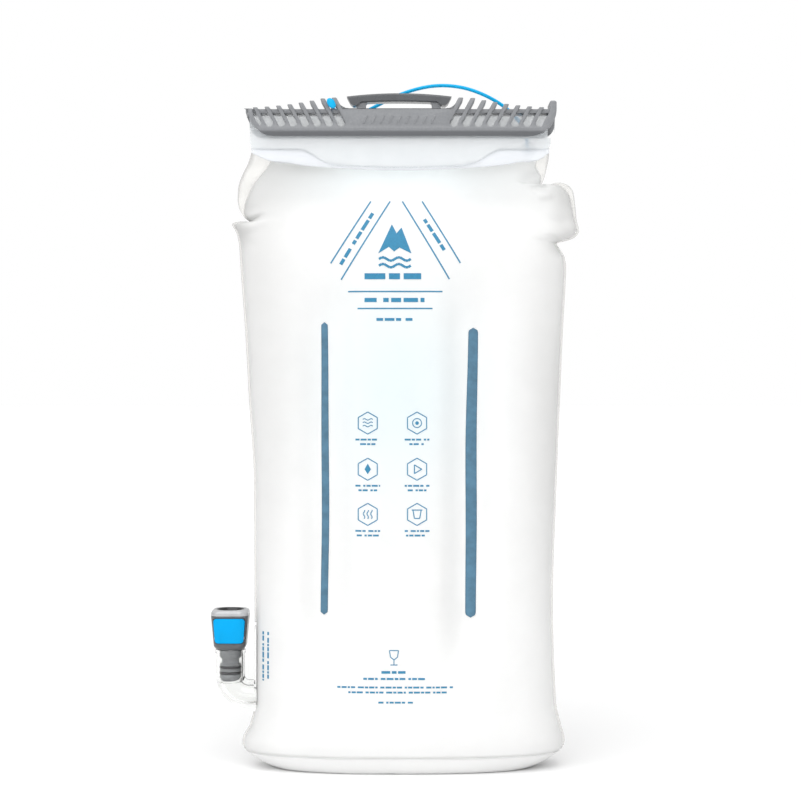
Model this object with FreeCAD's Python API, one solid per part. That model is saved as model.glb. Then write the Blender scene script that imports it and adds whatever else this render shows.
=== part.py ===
"""Hydration bladder: a film water bag that stands on a gusseted base, closed by a slide-off rail at the top,
with a clear elbow and a push-button hose coupling at its lower left side.

Millimetres. +Z is up, -Y is the front, and the origin is the middle of the base where it stands.
"""

import FreeCAD
import Part
import math
import os
from FreeCAD import Vector

# ---- film bag -------------------------------------------------------------------------------------------
FILM = 0.5  # film thickness
SEAM_REACH = 1.6  # how far a side seam stands outside the film
SEAM_THICK = 1.0
SEAM_WIDTH = 1.8
SEAM_GAP = 0.12  # between a seam strip and the film it is welded to
SQUARENESS = 2.5  # exponent of the bag's rounded cross-section
# Outline of the bag at rising heights: height, left half-width, right half-width, front depth, back depth.
OUTLINE = [
    (10.5, 95.5, 98.5, 33.0, 33.0),
    (18.0, 95.5, 98.5, 33.5, 33.5),
    (40.0, 89.6, 95.0, 33.0, 33.0),
    (100.0, 89.6, 93.8, 32.0, 32.0),
    (175.0, 90.2, 95.2, 31.0, 31.0),
    (225.0, 92.6, 97.8, 30.0, 30.0),
    (270.0, 95.2, 99.6, 28.5, 28.5),
    (310.0, 97.0, 101.4, 26.0, 26.0),
    (334.0, 97.4, 102.4, 20.5, 20.5),
    (352.0, 95.2, 93.0, 12.0, 12.0),
    (361.0, 93.2, 91.2, 5.0, 5.0),
    (367.0, 92.6, 91.2, 0.88, 0.88),
    (383.5, 92.0, 91.5, 0.85, 0.85),
]
SEAM_Z = OUTLINE[0][0]  # the panels meet the base gusset here
NECK_Z = OUTLINE[-1][0]
# Base gusset below that seam: height, share of the half-width, depth.
GUSSET = [(0.0, 0.76, 22.0), (2.2, 0.87, 27.0), (5.6, 0.955, 31.0), (SEAM_Z, 1.0, 33.0)]
ROW_STEP = 14.0  # spacing of the rows that shape the panels
NECK_ROW_STEP = 2.6  # closer spacing where the shoulders turn into the flat neck
SHOULDER_Z = 334.0
PANEL_COLUMNS = 33

# ---- inner baffle -----------------------------------------------------------------------------------------
BAFFLE_LEFT_X = -45.6
BAFFLE_RIGHT_X = 43.0
BAFFLE_LOW_Z = 96.0
BAFFLE_HIGH_Z = 271.0
BAFFLE_HALF_DEPTH = 21.5  # the webs hold the panels this far from the middle
VALLEY_HALF_WIDTH = 15.0
VALLEY_FADE = 26.0  # height over which a valley runs out past a web's end
LEFT_STRIP_WIDTH = 4.6
RIGHT_STRIP_WIDTH = 6.8
STRIP_THICK = 0.35

# ---- top rails --------------------------------------------------------------------------------------------
RAIL_LEFT_X = -92.7
RAIL_RIGHT_X = 92.4
BEAD_RIGHT_X = 90.6
RAIL_INNER_Y = 0.9
RAIL_OUTER_Y = 2.1
BEAD_OUTER_Y = 4.6
BEAD_LOW_Z = 391.0
BEAD_HIGH_Z = 400.0
RAIL_LOW_Z = 379.0
TONGUE_LOW_Z = 368.0

# ---- slider -----------------------------------------------------------------------------------------------
SLIDER_LEFT_X = -96.0
SLIDER_RIGHT_X = 95.5
SLIDER_HALF_DEPTH = 8.0
SLIDER_WALL = 2.0
THROAT_HALF = 2.9
LIP_LOW_Z = 386.8
LIP_HIGH_Z = 389.6
CHAMFER_HIGH_Z = 389.9  # top of the slope along the lower edge of both walls
SPINE_LOW_Z = 400.6
SPINE_HIGH_Z = 403.2
SLOT_LOW_Z = 392.0
SLOT_WIDTH = 5.0
SLOT_COUNT = 8
SLANT = 0.52  # sideways run of a fin per millimetre of height
SLANT_Z = 396.0  # height at which the slots' places are given
LEFT_SLOT_X = -37.0
LEFT_SLOT_PITCH = -7.35
RIGHT_SLOT_X = 33.4
RIGHT_SLOT_PITCH = 7.5
FIN_LOW_TOP = 403.8  # height of the outermost fin
FIN_RISE = 6.1  # extra height of the innermost fin
POST_WIDTH = 4.2
POST_TOP_Z = 408.2

# ---- carry handle -----------------------------------------------------------------------------------------
HANDLE_X = -0.8
HANDLE_HALF = 32.2
HANDLE_HALF_DEPTH = 5.0
HANDLE_CROWN_Z = 413.2
HANDLE_UNDER_Z = 408.1
HANDLE_POST_X = (-24.0, 22.0)
HANDLE_POST_HALF = 2.7

# ---- tether -----------------------------------------------------------------------------------------------
TETHER_R = 1.1
TOGGLE_R = 2.65
TOGGLE_FACE_Y = -8.1  # the toggle's back, against the front of the fins
TOGGLE_LENGTH = 3.4
TOGGLE_X = -42.25
TOGGLE_Z = 406.1
ANCHOR_X = 79.0
ANCHOR_Z = 379.5
ANCHOR_R = 3.6
ANCHOR_FACE_Y = 6.4
TETHER_ROUTE = [
    (-42.25, TOGGLE_FACE_Y, 406.1),
    (-42.25, 1.5, 406.1),
    (-41.9, 10.8, 405.9),
    (-37.6, 15.9, 403.8),
    (-31.0, 17.2, 402.4),
    (-23.5, 16.8, 404.4),
    (-12.0, 15.6, 410.4),
    (2.0, 14.8, 417.0),
    (20.0, 14.4, 421.6),
    (38.0, 14.6, 420.8),
    (54.0, 15.2, 415.2),
    (66.8, 16.4, 407.4),
    (75.2, 17.6, 398.8),
    (78.9, 18.3, 391.0),
    (79.3, 17.0, 383.6),
    (79.0, 12.2, 379.5),
    (79.0, ANCHOR_FACE_Y, 379.5),
]

# ---- port elbow -------------------------------------------------------------------------------------------
PORT_X = -104.7
ELBOW_R = 8.8
ELBOW_TOP_Z = 71.6
ELBOW_BORE_R = 6.9
ELBOW_BORE_FLOOR_Z = 51.4
PASSAGE_R = 5.0
BEND_R = 11.5
OUTLET_Z = 44.0
SPIGOT_R = 6.0
SPIGOT_END_X = -84.5
FLANGE_OUT_X = -89.6
FLANGE_IN_X = -88.1
FLANGE_LOW_Z = 35.6
FLANGE_HIGH_Z = 86.0
FLANGE_HALF_DEPTH = 9.0

# ---- hose coupling ----------------------------------------------------------------------------------------
HEAD_LOW_Z = 72.3
HEAD_HIGH_Z = 92.8
BEZEL_HIGH_Z = 96.3
MOUTH_R = 8.2
LEAD_R = 6.1  # bore above the latch
SEAL_R = 5.6  # bore that the hose plug seals in
SEAL_LOW_Z = 77.5
SEAL_HIGH_Z = 85.5
RING_Z = 82.2
RING_WIRE_R = 0.75
RING_R = 6.37  # flush with the bore before a plug squeezes it
LATCH_Z = 87.2
LATCH_THICK = 1.6
LATCH_TRAVEL = 1.6
POCKET_Y = -7.5
BUTTON_BACK_Y = -9.2
BUTTON_LOW_Z = 76.0
BUTTON_HIGH_Z = 91.6
LATCH_SPRING_X = 8.3
LATCH_SPRING_Z = 79.3
STEM_PLUG_R = 6.3
STEM_LOW_Z = 52.2
STEM_COLLAR_R = 6.7
STEM_NECK_R = 5.3
STEM_RIB_R = 6.5
STEM_BORE_R = 4.0
SEAT_R = 2.6
SEAT_LOW_Z = 69.4
STEM_RING_Z = (57.4, 60.9)
STEM_RING_R = 6.1
POPPET_R = 3.3
POPPET_Z = 68.0  # shoulder that carries the poppet's seal
POPPET_RING_WIRE_R = 0.55
NECK_R = 2.2  # the poppet's neck inside its seal
PROBE_TOP_Z = 77.2


def box(x0, x1, y0, y1, z0, z1):
    return Part.makeBox(x1 - x0, y1 - y0, z1 - z0, Vector(x0, y0, z0))


def tube(radius, low, high, x=PORT_X, y=0.0):
    return Part.makeCylinder(radius, high - low, Vector(x, y, low), Vector(0, 0, 1))


def along_y(radius, y0, y1, x, z):
    return Part.makeCylinder(radius, y1 - y0, Vector(x, y0, z), Vector(0, 1, 0))


def prism_y(points, y0, y1):
    """A flat outline of (x, z) corners, pushed from y0 to y1."""
    corners = [Vector(x, y0, z) for x, z in points]
    face = Part.Face(Part.makePolygon(corners + corners[:1]))
    return face.extrude(Vector(0, y1 - y0, 0))


def fused(shapes):
    return shapes[0].multiFuse(shapes[1:]).removeSplitter()


# ---- smooth interpolation of the outline ------------------------------------------------------------------
def outline_slopes(column):
    """Slopes of a monotone curve through one column of OUTLINE."""
    steps = [b[0] - a[0] for a, b in zip(OUTLINE, OUTLINE[1:])]
    rises = [(b[column] - a[column]) / s for a, b, s in zip(OUTLINE, OUTLINE[1:], steps)]
    slopes = [rises[0]]
    for before, after in zip(rises, rises[1:]):
        slopes.append(0.0 if before * after <= 0 else 2 * before * after / (before + after))
    return slopes + [rises[-1]]


SLOPES = {column: outline_slopes(column) for column in range(1, 5)}


def outline_at(z, column):
    """One column of OUTLINE at height z, on a smooth curve that never overshoots."""
    place = max(i for i in range(len(OUTLINE) - 1) if OUTLINE[i][0] <= z + 1e-9)
    low, high = OUTLINE[place], OUTLINE[place + 1]
    step = high[0] - low[0]
    t = (z - low[0]) / step
    return (
        (2 * t**3 - 3 * t**2 + 1) * low[column]
        + (t**3 - 2 * t**2 + t) * step * SLOPES[column][place]
        + (3 * t**2 - 2 * t**3) * high[column]
        + (t**3 - t**2) * step * SLOPES[column][place + 1]
    )


def valley_share(x, z):
    """How strongly a baffle web holds the film at (x, z): 1 on a web, 0 far from both."""
    past_end = max(BAFFLE_LOW_Z - z, z - BAFFLE_HIGH_Z, 0.0)
    along = math.exp(-((past_end / VALLEY_FADE) ** 2))
    webs = (BAFFLE_LEFT_X, BAFFLE_RIGHT_X)
    across = [math.exp(-((abs(x - web) / VALLEY_HALF_WIDTH) ** 3)) for web in webs]
    return along * max(across)


def section_point(z, angle, left, right, depth, inset):
    """A point of the bag's cross-section; angle runs from -90 degrees, left seam, to 90, right seam."""
    half = (right if angle > 0 else left) - SEAM_REACH - inset
    power = 2.0 / SQUARENESS
    x = math.copysign(half * abs(math.sin(angle)) ** power, angle)
    y = (depth - inset) * abs(math.cos(angle)) ** power
    return x, y


def film_point(z, angle, side, inset):
    depth = outline_at(z, 3 if side < 0 else 4)
    x, y = section_point(z, angle, outline_at(z, 1), outline_at(z, 2), depth, inset)
    held = min(y, BAFFLE_HALF_DEPTH - inset)
    share = valley_share(x, z)
    return Vector(x, side * (y * (1 - share) + held * share), z)


def spread(low, high, step):
    """Evenly spaced values from low to high, about one step apart, without the last."""
    count = round((high - low) / step)
    return [low + (high - low) * i / count for i in range(count)]


def film_surface(side, inset):
    heights = spread(SEAM_Z, SHOULDER_Z, ROW_STEP) + spread(SHOULDER_Z, NECK_Z, NECK_ROW_STEP) + [NECK_Z]
    angles = [math.pi * (i / (PANEL_COLUMNS - 1) - 0.5) for i in range(PANEL_COLUMNS)]
    grid = [[film_point(z, angle, side, inset) for angle in angles] for z in heights]
    for row in grid:  # both seam edges lie exactly in the seam plane
        row[0].y = 0.0
        row[-1].y = 0.0
    surface = Part.BSplineSurface()
    surface.interpolate(grid)
    return surface


def edge_of(surface, name):
    u0, u1, v0, v1 = surface.bounds()
    rows = {"low": u0, "high": u1}
    curve = surface.uIso(rows[name]) if name in rows else surface.vIso(v0 if name == "left" else v1)
    return curve.toShape()


def film_panel(side):
    """Front (side -1) or back (side 1) film panel, a closed thin solid between two smooth surfaces."""
    outer, inner = film_surface(side, 0.0), film_surface(side, FILM)
    faces = [outer.toShape(), inner.toShape()]
    for name in ("low", "high", "left", "right"):
        faces.append(Part.makeRuledSurface(edge_of(outer, name), edge_of(inner, name)))
    shell = Part.makeShell(faces)
    shell.sewShape()
    solid = Part.makeSolid(Part.Shell(shell.Faces))
    if solid.Volume < 0:
        solid.reverse()
    solid = solid.cut(port_hole())
    return solid


def port_hole():
    return Part.makeCylinder(SPIGOT_R + 0.15, 16, Vector(-96, 0, OUTLET_Z), Vector(1, 0, 0))


def ring_wire(z, left, right, depth, inset=0.0):
    """The whole cross-section at one height as a closed smooth wire."""
    points = []
    for side in (-1, 1):
        for i in range(PANEL_COLUMNS - 1):
            angle = math.pi * (i / (PANEL_COLUMNS - 1) - 0.5) * (1 if side < 0 else -1)
            x, y = section_point(z, angle, left, right, depth, inset)
            points.append(Vector(x, side * y, z))
    points[0].y = 0.0
    points[PANEL_COLUMNS - 1].y = 0.0
    curve = Part.BSplineCurve()
    curve.interpolate(points, True)
    return Part.Wire(curve.toShape())


def base_gusset():
    left, right = OUTLINE[0][1], OUTLINE[0][2]
    outer = [ring_wire(z, left * share, right * share, depth) for z, share, depth in GUSSET]
    inner = [ring_wire(z + FILM, left * share, right * share, depth, FILM) for z, share, depth in GUSSET[:-1]]
    inner.append(ring_wire(SEAM_Z, left, right, GUSSET[-1][2], FILM))
    inner.append(ring_wire(SEAM_Z + 1, left, right, GUSSET[-1][2], FILM))
    return Part.makeLoft(outer, True).cut(Part.makeLoft(inner, True))


def base_seam():
    """The raised weld bead around the bag where the panels meet the base gusset."""
    left, right, depth = OUTLINE[0][1], OUTLINE[0][2], OUTLINE[0][3]
    outer = Part.Face(ring_wire(SEAM_Z - 0.6, left, right, depth, -1.3))
    inner = Part.Face(ring_wire(SEAM_Z - 0.6, left, right, depth, -0.35))
    return outer.cut(inner).extrude(Vector(0, 0, 1.2))


def side_seam(sign, low, high):
    """A flat weld strip that runs up one side of the bag from low to high, along the film's edge."""
    edge = edge_of(film_surface(-1, 0.0), "left" if sign < 0 else "right")
    along = [point for point in edge.discretize(Number=161) if low <= point.z <= high]
    along = along[::4] + ([] if len(along) % 4 == 1 else along[-1:])
    inner = [Vector(point.x + sign * SEAM_GAP, -SEAM_THICK / 2, point.z) for point in along]
    outer = [point + Vector(sign * SEAM_WIDTH, 0, 0) for point in inner]
    curves = []
    for points in (inner, outer):
        curve = Part.BSplineCurve()
        curve.interpolate(points)
        curves.append(curve.toShape())
    ends = [Part.makeLine(inner[0], outer[0]), Part.makeLine(inner[-1], outer[-1])]
    wire = Part.Wire(Part.sortEdges([curves[0], ends[0], curves[1], ends[1]])[0])
    return Part.Face(wire).extrude(Vector(0, SEAM_THICK, 0))


def weld_strip(x, width, side):
    """A straight coloured weld strip that lies in a panel's valley, with round ends."""
    low_y = BAFFLE_HALF_DEPTH + 0.3
    ends = [side * low_y, side * (low_y + STRIP_THICK)]
    half = width / 2
    bar = box(x - half, x + half, min(ends), max(ends), BAFFLE_LOW_Z + half, BAFFLE_HIGH_Z - half)
    rounds = [along_y(half, min(ends), max(ends), x, z) for z in (BAFFLE_LOW_Z + half, BAFFLE_HIGH_Z - half)]
    return fused([bar] + rounds)


def baffle_web(x):
    """The inner film web that ties the front panel to the back panel."""
    half = BAFFLE_HALF_DEPTH - FILM - 0.4
    return box(x - FILM / 2, x + FILM / 2, -half, half, BAFFLE_LOW_Z + 3, BAFFLE_HIGH_Z - 3)


# ---- top rails --------------------------------------------------------------------------------------------
def rail(side):
    """A clear rail: a flange welded to the film, with a bead on top that the slider grips."""
    step_z = LIP_LOW_Z - 0.4
    curve = [Vector(-62, 0, RAIL_LOW_Z), Vector(-55, 0, 376.2), Vector(-46, 0, 370.8), Vector(-30, 0, 368.7)]
    curve += [Vector(0, 0, TONGUE_LOW_Z)]
    curve += [Vector(-point.x, 0, point.z) for point in reversed(curve[:-1])]
    tongue = Part.BSplineCurve()
    tongue.interpolate(curve)
    corner = 4.0
    left_low = Vector(RAIL_LEFT_X, 0, RAIL_LOW_Z + corner)
    right_low = Vector(RAIL_RIGHT_X, 0, RAIL_LOW_Z + corner)
    cut = corner * (1 - math.sqrt(0.5))
    left_foot = Vector(RAIL_LEFT_X + corner, 0, RAIL_LOW_Z)
    right_foot = Vector(RAIL_RIGHT_X - corner, 0, RAIL_LOW_Z)
    left_arc = Part.Arc(left_low, Vector(RAIL_LEFT_X + cut, 0, RAIL_LOW_Z + cut), left_foot).toShape()
    right_arc = Part.Arc(right_foot, Vector(RAIL_RIGHT_X - cut, 0, RAIL_LOW_Z + cut), right_low).toShape()
    top = [right_low, Vector(RAIL_RIGHT_X, 0, step_z), Vector(BEAD_RIGHT_X, 0, step_z)]
    top += [Vector(BEAD_RIGHT_X, 0, BEAD_HIGH_Z - 2), Vector(RAIL_LEFT_X, 0, BEAD_HIGH_Z - 2), left_low]
    edges = [
        left_arc,
        Part.makeLine(left_foot, curve[0]),
        tongue.toShape(),
        Part.makeLine(curve[-1], right_foot),
        right_arc,
    ]
    edges += [Part.makeLine(a, b) for a, b in zip(top, top[1:])]
    flange = Part.Face(Part.Wire(edges)).extrude(Vector(0, RAIL_OUTER_Y - RAIL_INNER_Y, 0))
    flange.translate(Vector(0, RAIL_INNER_Y, 0))
    profile = [(0.15, BEAD_LOW_Z + 1.6), (0.15, BEAD_HIGH_Z), (3.4, BEAD_HIGH_Z)]
    profile += [(BEAD_OUTER_Y, BEAD_HIGH_Z - 1.4), (BEAD_OUTER_Y, BEAD_LOW_Z + 1.0)]
    profile += [(3.8, BEAD_LOW_Z), (RAIL_INNER_Y, BEAD_LOW_Z)]
    corners = [Vector(RAIL_LEFT_X, y, z) for y, z in profile]
    section = Part.Face(Part.makePolygon(corners + corners[:1]))
    bead = section.extrude(Vector(BEAD_RIGHT_X - RAIL_LEFT_X, 0, 0))
    whole = fused([flange, bead])
    return whole if side > 0 else whole.mirror(Vector(0, 0, 0), Vector(0, 1, 0))


# ---- slider -----------------------------------------------------------------------------------------------
def wall_outline(corner, margin, top_z):
    """The outline of a slider wall in XZ, with a large round at both lower corners, drawn in by margin."""
    left, right, low = SLIDER_LEFT_X + margin, SLIDER_RIGHT_X - margin, LIP_LOW_Z + margin
    radius = corner - margin
    lean = 2.6  # the left end leans outward towards its top
    cut = radius * (1 - math.sqrt(0.5))
    a, b = Vector(left, 0, top_z), Vector(left + lean, 0, low + radius)
    c, d = Vector(left + lean + radius, 0, low), Vector(right - radius, 0, low)
    e, f = Vector(right, 0, low + radius), Vector(right, 0, top_z)
    edges = [
        Part.makeLine(a, b),
        Part.Arc(b, Vector(left + lean + cut, 0, low + cut), c).toShape(),
        Part.makeLine(c, d),
        Part.Arc(d, Vector(right - cut, 0, low + cut), e).toShape(),
        Part.makeLine(e, f),
        Part.makeLine(f, a),
    ]
    return Part.Face(Part.Wire(edges))


def plate(face, y0, y1):
    solid = face.extrude(Vector(0, y1 - y0, 0))
    solid.translate(Vector(0, y0, 0))
    return solid


def slot_places():
    """(x at SLANT_Z, lean direction) of every slot of both combs."""
    left = [(LEFT_SLOT_X + LEFT_SLOT_PITCH * k, -1) for k in range(SLOT_COUNT)]
    right = [(RIGHT_SLOT_X + RIGHT_SLOT_PITCH * k, 1) for k in range(SLOT_COUNT)]
    return left + right


def leaning(x, lean, z):
    return x + lean * SLANT * (z - SLANT_Z)


def slot_cutter(x, lean, y0, y1):
    """A slanted slot, open at the top, with a round bottom."""
    half, top = SLOT_WIDTH / 2, POST_TOP_Z + 4
    round_z = SLOT_LOW_Z + half
    corners = [(leaning(x, lean, round_z) - half, round_z), (leaning(x, lean, round_z) + half, round_z)]
    corners += [(leaning(x, lean, top) + half, top), (leaning(x, lean, top) - half, top)]
    end = along_y(half, y0, y1, leaning(x, lean, round_z), round_z)
    return fused([prism_y(corners, y0, y1), end])


def fin_top(x):
    """Height of the fins' tops: they rise towards the middle of the slider."""
    outer, inner = (SLIDER_LEFT_X, -42.0) if x < 0 else (SLIDER_RIGHT_X, 40.0)
    share = min(1.0, max(0.0, (x - outer) / (inner - outer)))
    return FIN_LOW_TOP + FIN_RISE * share**1.8


def fins():
    """The fins between the slots where they stand above the spine, over the slider's whole depth."""
    made = []
    for lean, first, pitch in ((-1, LEFT_SLOT_X, LEFT_SLOT_PITCH), (1, RIGHT_SLOT_X, RIGHT_SLOT_PITCH)):
        half = (abs(pitch) - SLOT_WIDTH) / 2 + 0.3
        for k in range(SLOT_COUNT):
            x = first + pitch * (k - 0.5)
            top = fin_top(leaning(x, lean, FIN_LOW_TOP))
            low = SPINE_HIGH_Z - 1.0
            corners = [(leaning(x, lean, low) - half, low), (leaning(x, lean, low) + half, low)]
            corners += [(leaning(x, lean, top) + half, top - 0.3), (leaning(x, lean, top) + half - 0.5, top)]
            corners += [(leaning(x, lean, top) - half + 0.5, top), (leaning(x, lean, top) - half, top - 0.3)]
            made.append(prism_y(corners, -SLIDER_HALF_DEPTH, SLIDER_HALF_DEPTH))
            if k == 0:
                made.append(fin_gusset(x, lean, half))
    return made


def fin_gusset(x, lean, half):
    """The curved web that blends the innermost fin into the slider's middle plate."""
    root_z, tip_z = SPINE_HIGH_Z - 0.7, SPINE_HIGH_Z + 5.0
    foot = leaning(x, lean, SPINE_HIGH_Z) - lean * half
    tip = leaning(x, lean, tip_z) - lean * (half - 0.4)
    toe, heel = foot - lean * 3.6, foot + lean * 0.8
    a, b, c = Vector(toe, 0, SPINE_HIGH_Z + 0.05), Vector(tip, 0, tip_z), Vector(heel, 0, SPINE_HIGH_Z)
    edges = [
        Part.Arc(a, Vector(foot - lean * 0.4, 0, SPINE_HIGH_Z + 1.1), b).toShape(),
        Part.makeLine(b, c),
        Part.makeLine(c, Vector(heel, 0, root_z)),
        Part.makeLine(Vector(heel, 0, root_z), Vector(toe, 0, root_z)),
        Part.makeLine(Vector(toe, 0, root_z), a),
    ]
    return plate(Part.Face(Part.Wire(edges)), -SLIDER_HALF_DEPTH + 0.02, SLIDER_HALF_DEPTH - 0.02)


def slider_wall(side, corner):
    """One comb wall with its slots, and the inward lip along its lower edge."""
    outer, inner = SLIDER_HALF_DEPTH, SLIDER_HALF_DEPTH - SLIDER_WALL
    wall = plate(wall_outline(corner, 0.0, SPINE_HIGH_Z), inner, outer)
    window = plate(wall_outline(corner, 2.9, POST_TOP_Z + 3), inner - 1, outer + 1)
    slots = fused([slot_cutter(x, lean, inner - 1, outer + 1) for x, lean in slot_places()])
    wall = wall.cut(slots.common(window))
    lip = plate(wall_outline(corner, 0.0, SPINE_HIGH_Z), THROAT_HALF, inner)
    lip = lip.common(box(SLIDER_LEFT_X - 1, SLIDER_RIGHT_X + 1, 0, inner, LIP_LOW_Z - 1, LIP_HIGH_Z))
    whole = fused([wall, lip])
    chamfer = [(outer + 0.1, LIP_LOW_Z - 0.1), (outer + 0.1, CHAMFER_HIGH_Z), (outer - 1.9, LIP_LOW_Z - 0.1)]
    corners = [Vector(SLIDER_LEFT_X - 1, y, z) for y, z in chamfer]
    wedge = Part.Face(Part.makePolygon(corners + corners[:1]))
    whole = whole.cut(wedge.extrude(Vector(SLIDER_RIGHT_X - SLIDER_LEFT_X + 2, 0, 0)))
    return whole if side > 0 else whole.mirror(Vector(0, 0, 0), Vector(0, 1, 0))


def end_post():
    """The closed right end of the channel, which stands up as a thumb tab."""
    depth = SLIDER_HALF_DEPTH
    low = plate(wall_outline(16.0, 0.0, SPINE_HIGH_Z), -depth, depth)
    inner_x = SLIDER_RIGHT_X - POST_WIDTH
    low = low.common(box(inner_x, SLIDER_RIGHT_X, -depth, depth, LIP_LOW_Z, SPINE_HIGH_Z))
    tab = box(inner_x, SLIDER_RIGHT_X, -depth, depth, SPINE_HIGH_Z, POST_TOP_Z)
    rims = [edge for edge in tab.Edges if min(vertex.Z for vertex in edge.Vertexes) > POST_TOP_Z - 0.1]
    return fused([low, tab.makeFillet(1.4, rims)])


def handle_posts(grow=0.0):
    """The two flared posts that carry the handle."""
    made = []
    for x in HANDLE_POST_X:
        half, flare = HANDLE_POST_HALF + grow, HANDLE_POST_HALF + 1.5 + grow
        corners = [(x - half - 0.9, SPINE_HIGH_Z - 0.5), (x - half, SPINE_HIGH_Z + 1.4), (x - half, 406.6)]
        corners += [(x - flare, 408.6), (x - flare, 409.8), (x + flare, 409.8), (x + flare, 408.6)]
        corners += [(x + half, 406.6), (x + half, SPINE_HIGH_Z + 1.4), (x + half + 0.9, SPINE_HIGH_Z - 0.5)]
        made.append(prism_y(corners, -3.4 - grow, 3.4 + grow))
    return made


def grip_ridges():
    """A row of low slanted ridges on the middle of both walls."""
    made = []
    count, pitch = 9, 5.2
    for k in range(count):
        x = HANDLE_X + pitch * (k - (count - 1) / 2)
        corners = [(x - 1.6, 394.0), (x - 0.4, 394.0), (x + 1.6, 398.4), (x + 0.4, 398.4)]
        for side in (-1, 1):
            ends = sorted([side * (SLIDER_HALF_DEPTH - 0.4), side * (SLIDER_HALF_DEPTH + 0.45)])
            made.append(prism_y(corners, ends[0], ends[1]))
    return made


def slider():
    inner = SLIDER_HALF_DEPTH - SLIDER_WALL
    spine = box(SLIDER_LEFT_X + 1.2, SLIDER_RIGHT_X - 1, -inner, inner, SPINE_LOW_Z, SPINE_HIGH_Z)
    shapes = [slider_wall(-1, 16.0), slider_wall(1, 9.0), spine, end_post()]
    shapes += fins() + handle_posts() + grip_ridges()
    return fused(shapes)


def carry_handle():
    """The arched grip bar with drooping ends, pushed onto the slider's two posts."""
    x0, x1 = HANDLE_X - HANDLE_HALF, HANDLE_X + HANDLE_HALF
    crown, underside = Vector(HANDLE_X, 0, HANDLE_CROWN_Z), Vector(HANDLE_X, 0, HANDLE_UNDER_Z)
    # Distance in from an end, and height.
    droop = [(0.0, 411.2), (2.3, 406.9), (3.8, 405.7), (6.0, 405.8), (8.4, 407.5)]
    left = [Vector(x0 + reach, 0, z) for reach, z in droop]
    right = [Vector(x1 - reach, 0, z) for reach, z in droop]
    edges = [Part.Arc(left[0], crown, right[0]).toShape(), Part.Arc(left[-1], underside, right[-1]).toShape()]
    for corners in (left, right):
        edges += [Part.makeLine(a, b) for a, b in zip(corners, corners[1:])]
    outline = Part.Wire(Part.sortEdges(edges)[0])
    bar = plate(Part.Face(outline), -HANDLE_HALF_DEPTH, HANDLE_HALF_DEPTH)
    long_edges = [edge for edge in bar.Edges if abs(edge.CenterOfMass.y) > 4 and edge.Length > 40]
    return bar.makeFillet(1.2, long_edges).cut(fused(handle_posts()))


# ---- tether -----------------------------------------------------------------------------------------------
def cord_solid(route, radius):
    """A round cord: straight runs joined by the largest tangent arcs that they leave room for."""
    points = [Vector(*p) for p in route]
    edges, radii = [], []
    here = points[0]
    for before, corner, after in zip(points, points[1:], points[2:]):
        back, ahead = before - corner, after - corner
        reach = 0.45 * min(back.Length, ahead.Length)
        turn = math.pi - back.getAngle(ahead)
        radii.append(reach / math.tan(turn / 2))
        back.normalize()
        ahead.normalize()
        start, stop = corner + back * reach, corner + ahead * reach
        half = back + ahead
        half.normalize()
        centre_far = radii[-1] / math.cos(turn / 2)
        middle = corner + half * (centre_far - radii[-1])
        edges.append(Part.LineSegment(here, start).toShape())
        edges.append(Part.Arc(start, middle, stop).toShape())
        here = stop
    edges.append(Part.LineSegment(here, points[-1]).toShape())
    path = Part.Wire(edges)
    circle = Part.Wire(Part.makeCircle(radius, points[0], points[1] - points[0]))
    solid = path.makePipeShell([circle], True, True)
    share = solid.Volume / (math.pi * radius**2 * path.Length)
    print("cord length %.1f mm, volume share %.4f" % (path.Length, share))
    print("cord bend radii", [round(r, 1) for r in radii])
    return solid


def tether_toggle():
    """The round stopper that holds the cord in front of the two innermost fins of the left comb."""
    barrel = along_y(TOGGLE_R, TOGGLE_FACE_Y - TOGGLE_LENGTH, TOGGLE_FACE_Y, TOGGLE_X, TOGGLE_Z)
    rims = [edge for edge in barrel.Edges if isinstance(edge.Curve, Part.Circle)]
    return barrel.makeFillet(1.1, rims)


def tether_anchor():
    """The clear boss on the back rail that holds the cord's other end."""
    disc = along_y(ANCHOR_R + 1.2, RAIL_OUTER_Y, RAIL_OUTER_Y + 1.2, ANCHOR_X, ANCHOR_Z)
    neck = along_y(ANCHOR_R - 1.0, RAIL_OUTER_Y + 1.0, ANCHOR_FACE_Y, ANCHOR_X, ANCHOR_Z)
    return fused([disc, neck])


# ---- port elbow -------------------------------------------------------------------------------------------
def bent_tube(radius, top_z, end_x):
    """A vertical tube that turns through a right angle towards the bag."""
    bend_z = OUTLET_Z + BEND_R
    bend_x = PORT_X + BEND_R
    upright = tube(radius, bend_z, top_z)
    disc = Part.Face(Part.Wire(Part.makeCircle(radius, Vector(PORT_X, 0, bend_z), Vector(0, 0, 1))))
    bend = disc.revolve(Vector(bend_x, 0, bend_z), Vector(0, -1, 0), 90)
    run = Part.makeCylinder(radius, end_x - bend_x, Vector(bend_x, 0, OUTLET_Z), Vector(1, 0, 0))
    return fused([upright, bend, run])


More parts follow.
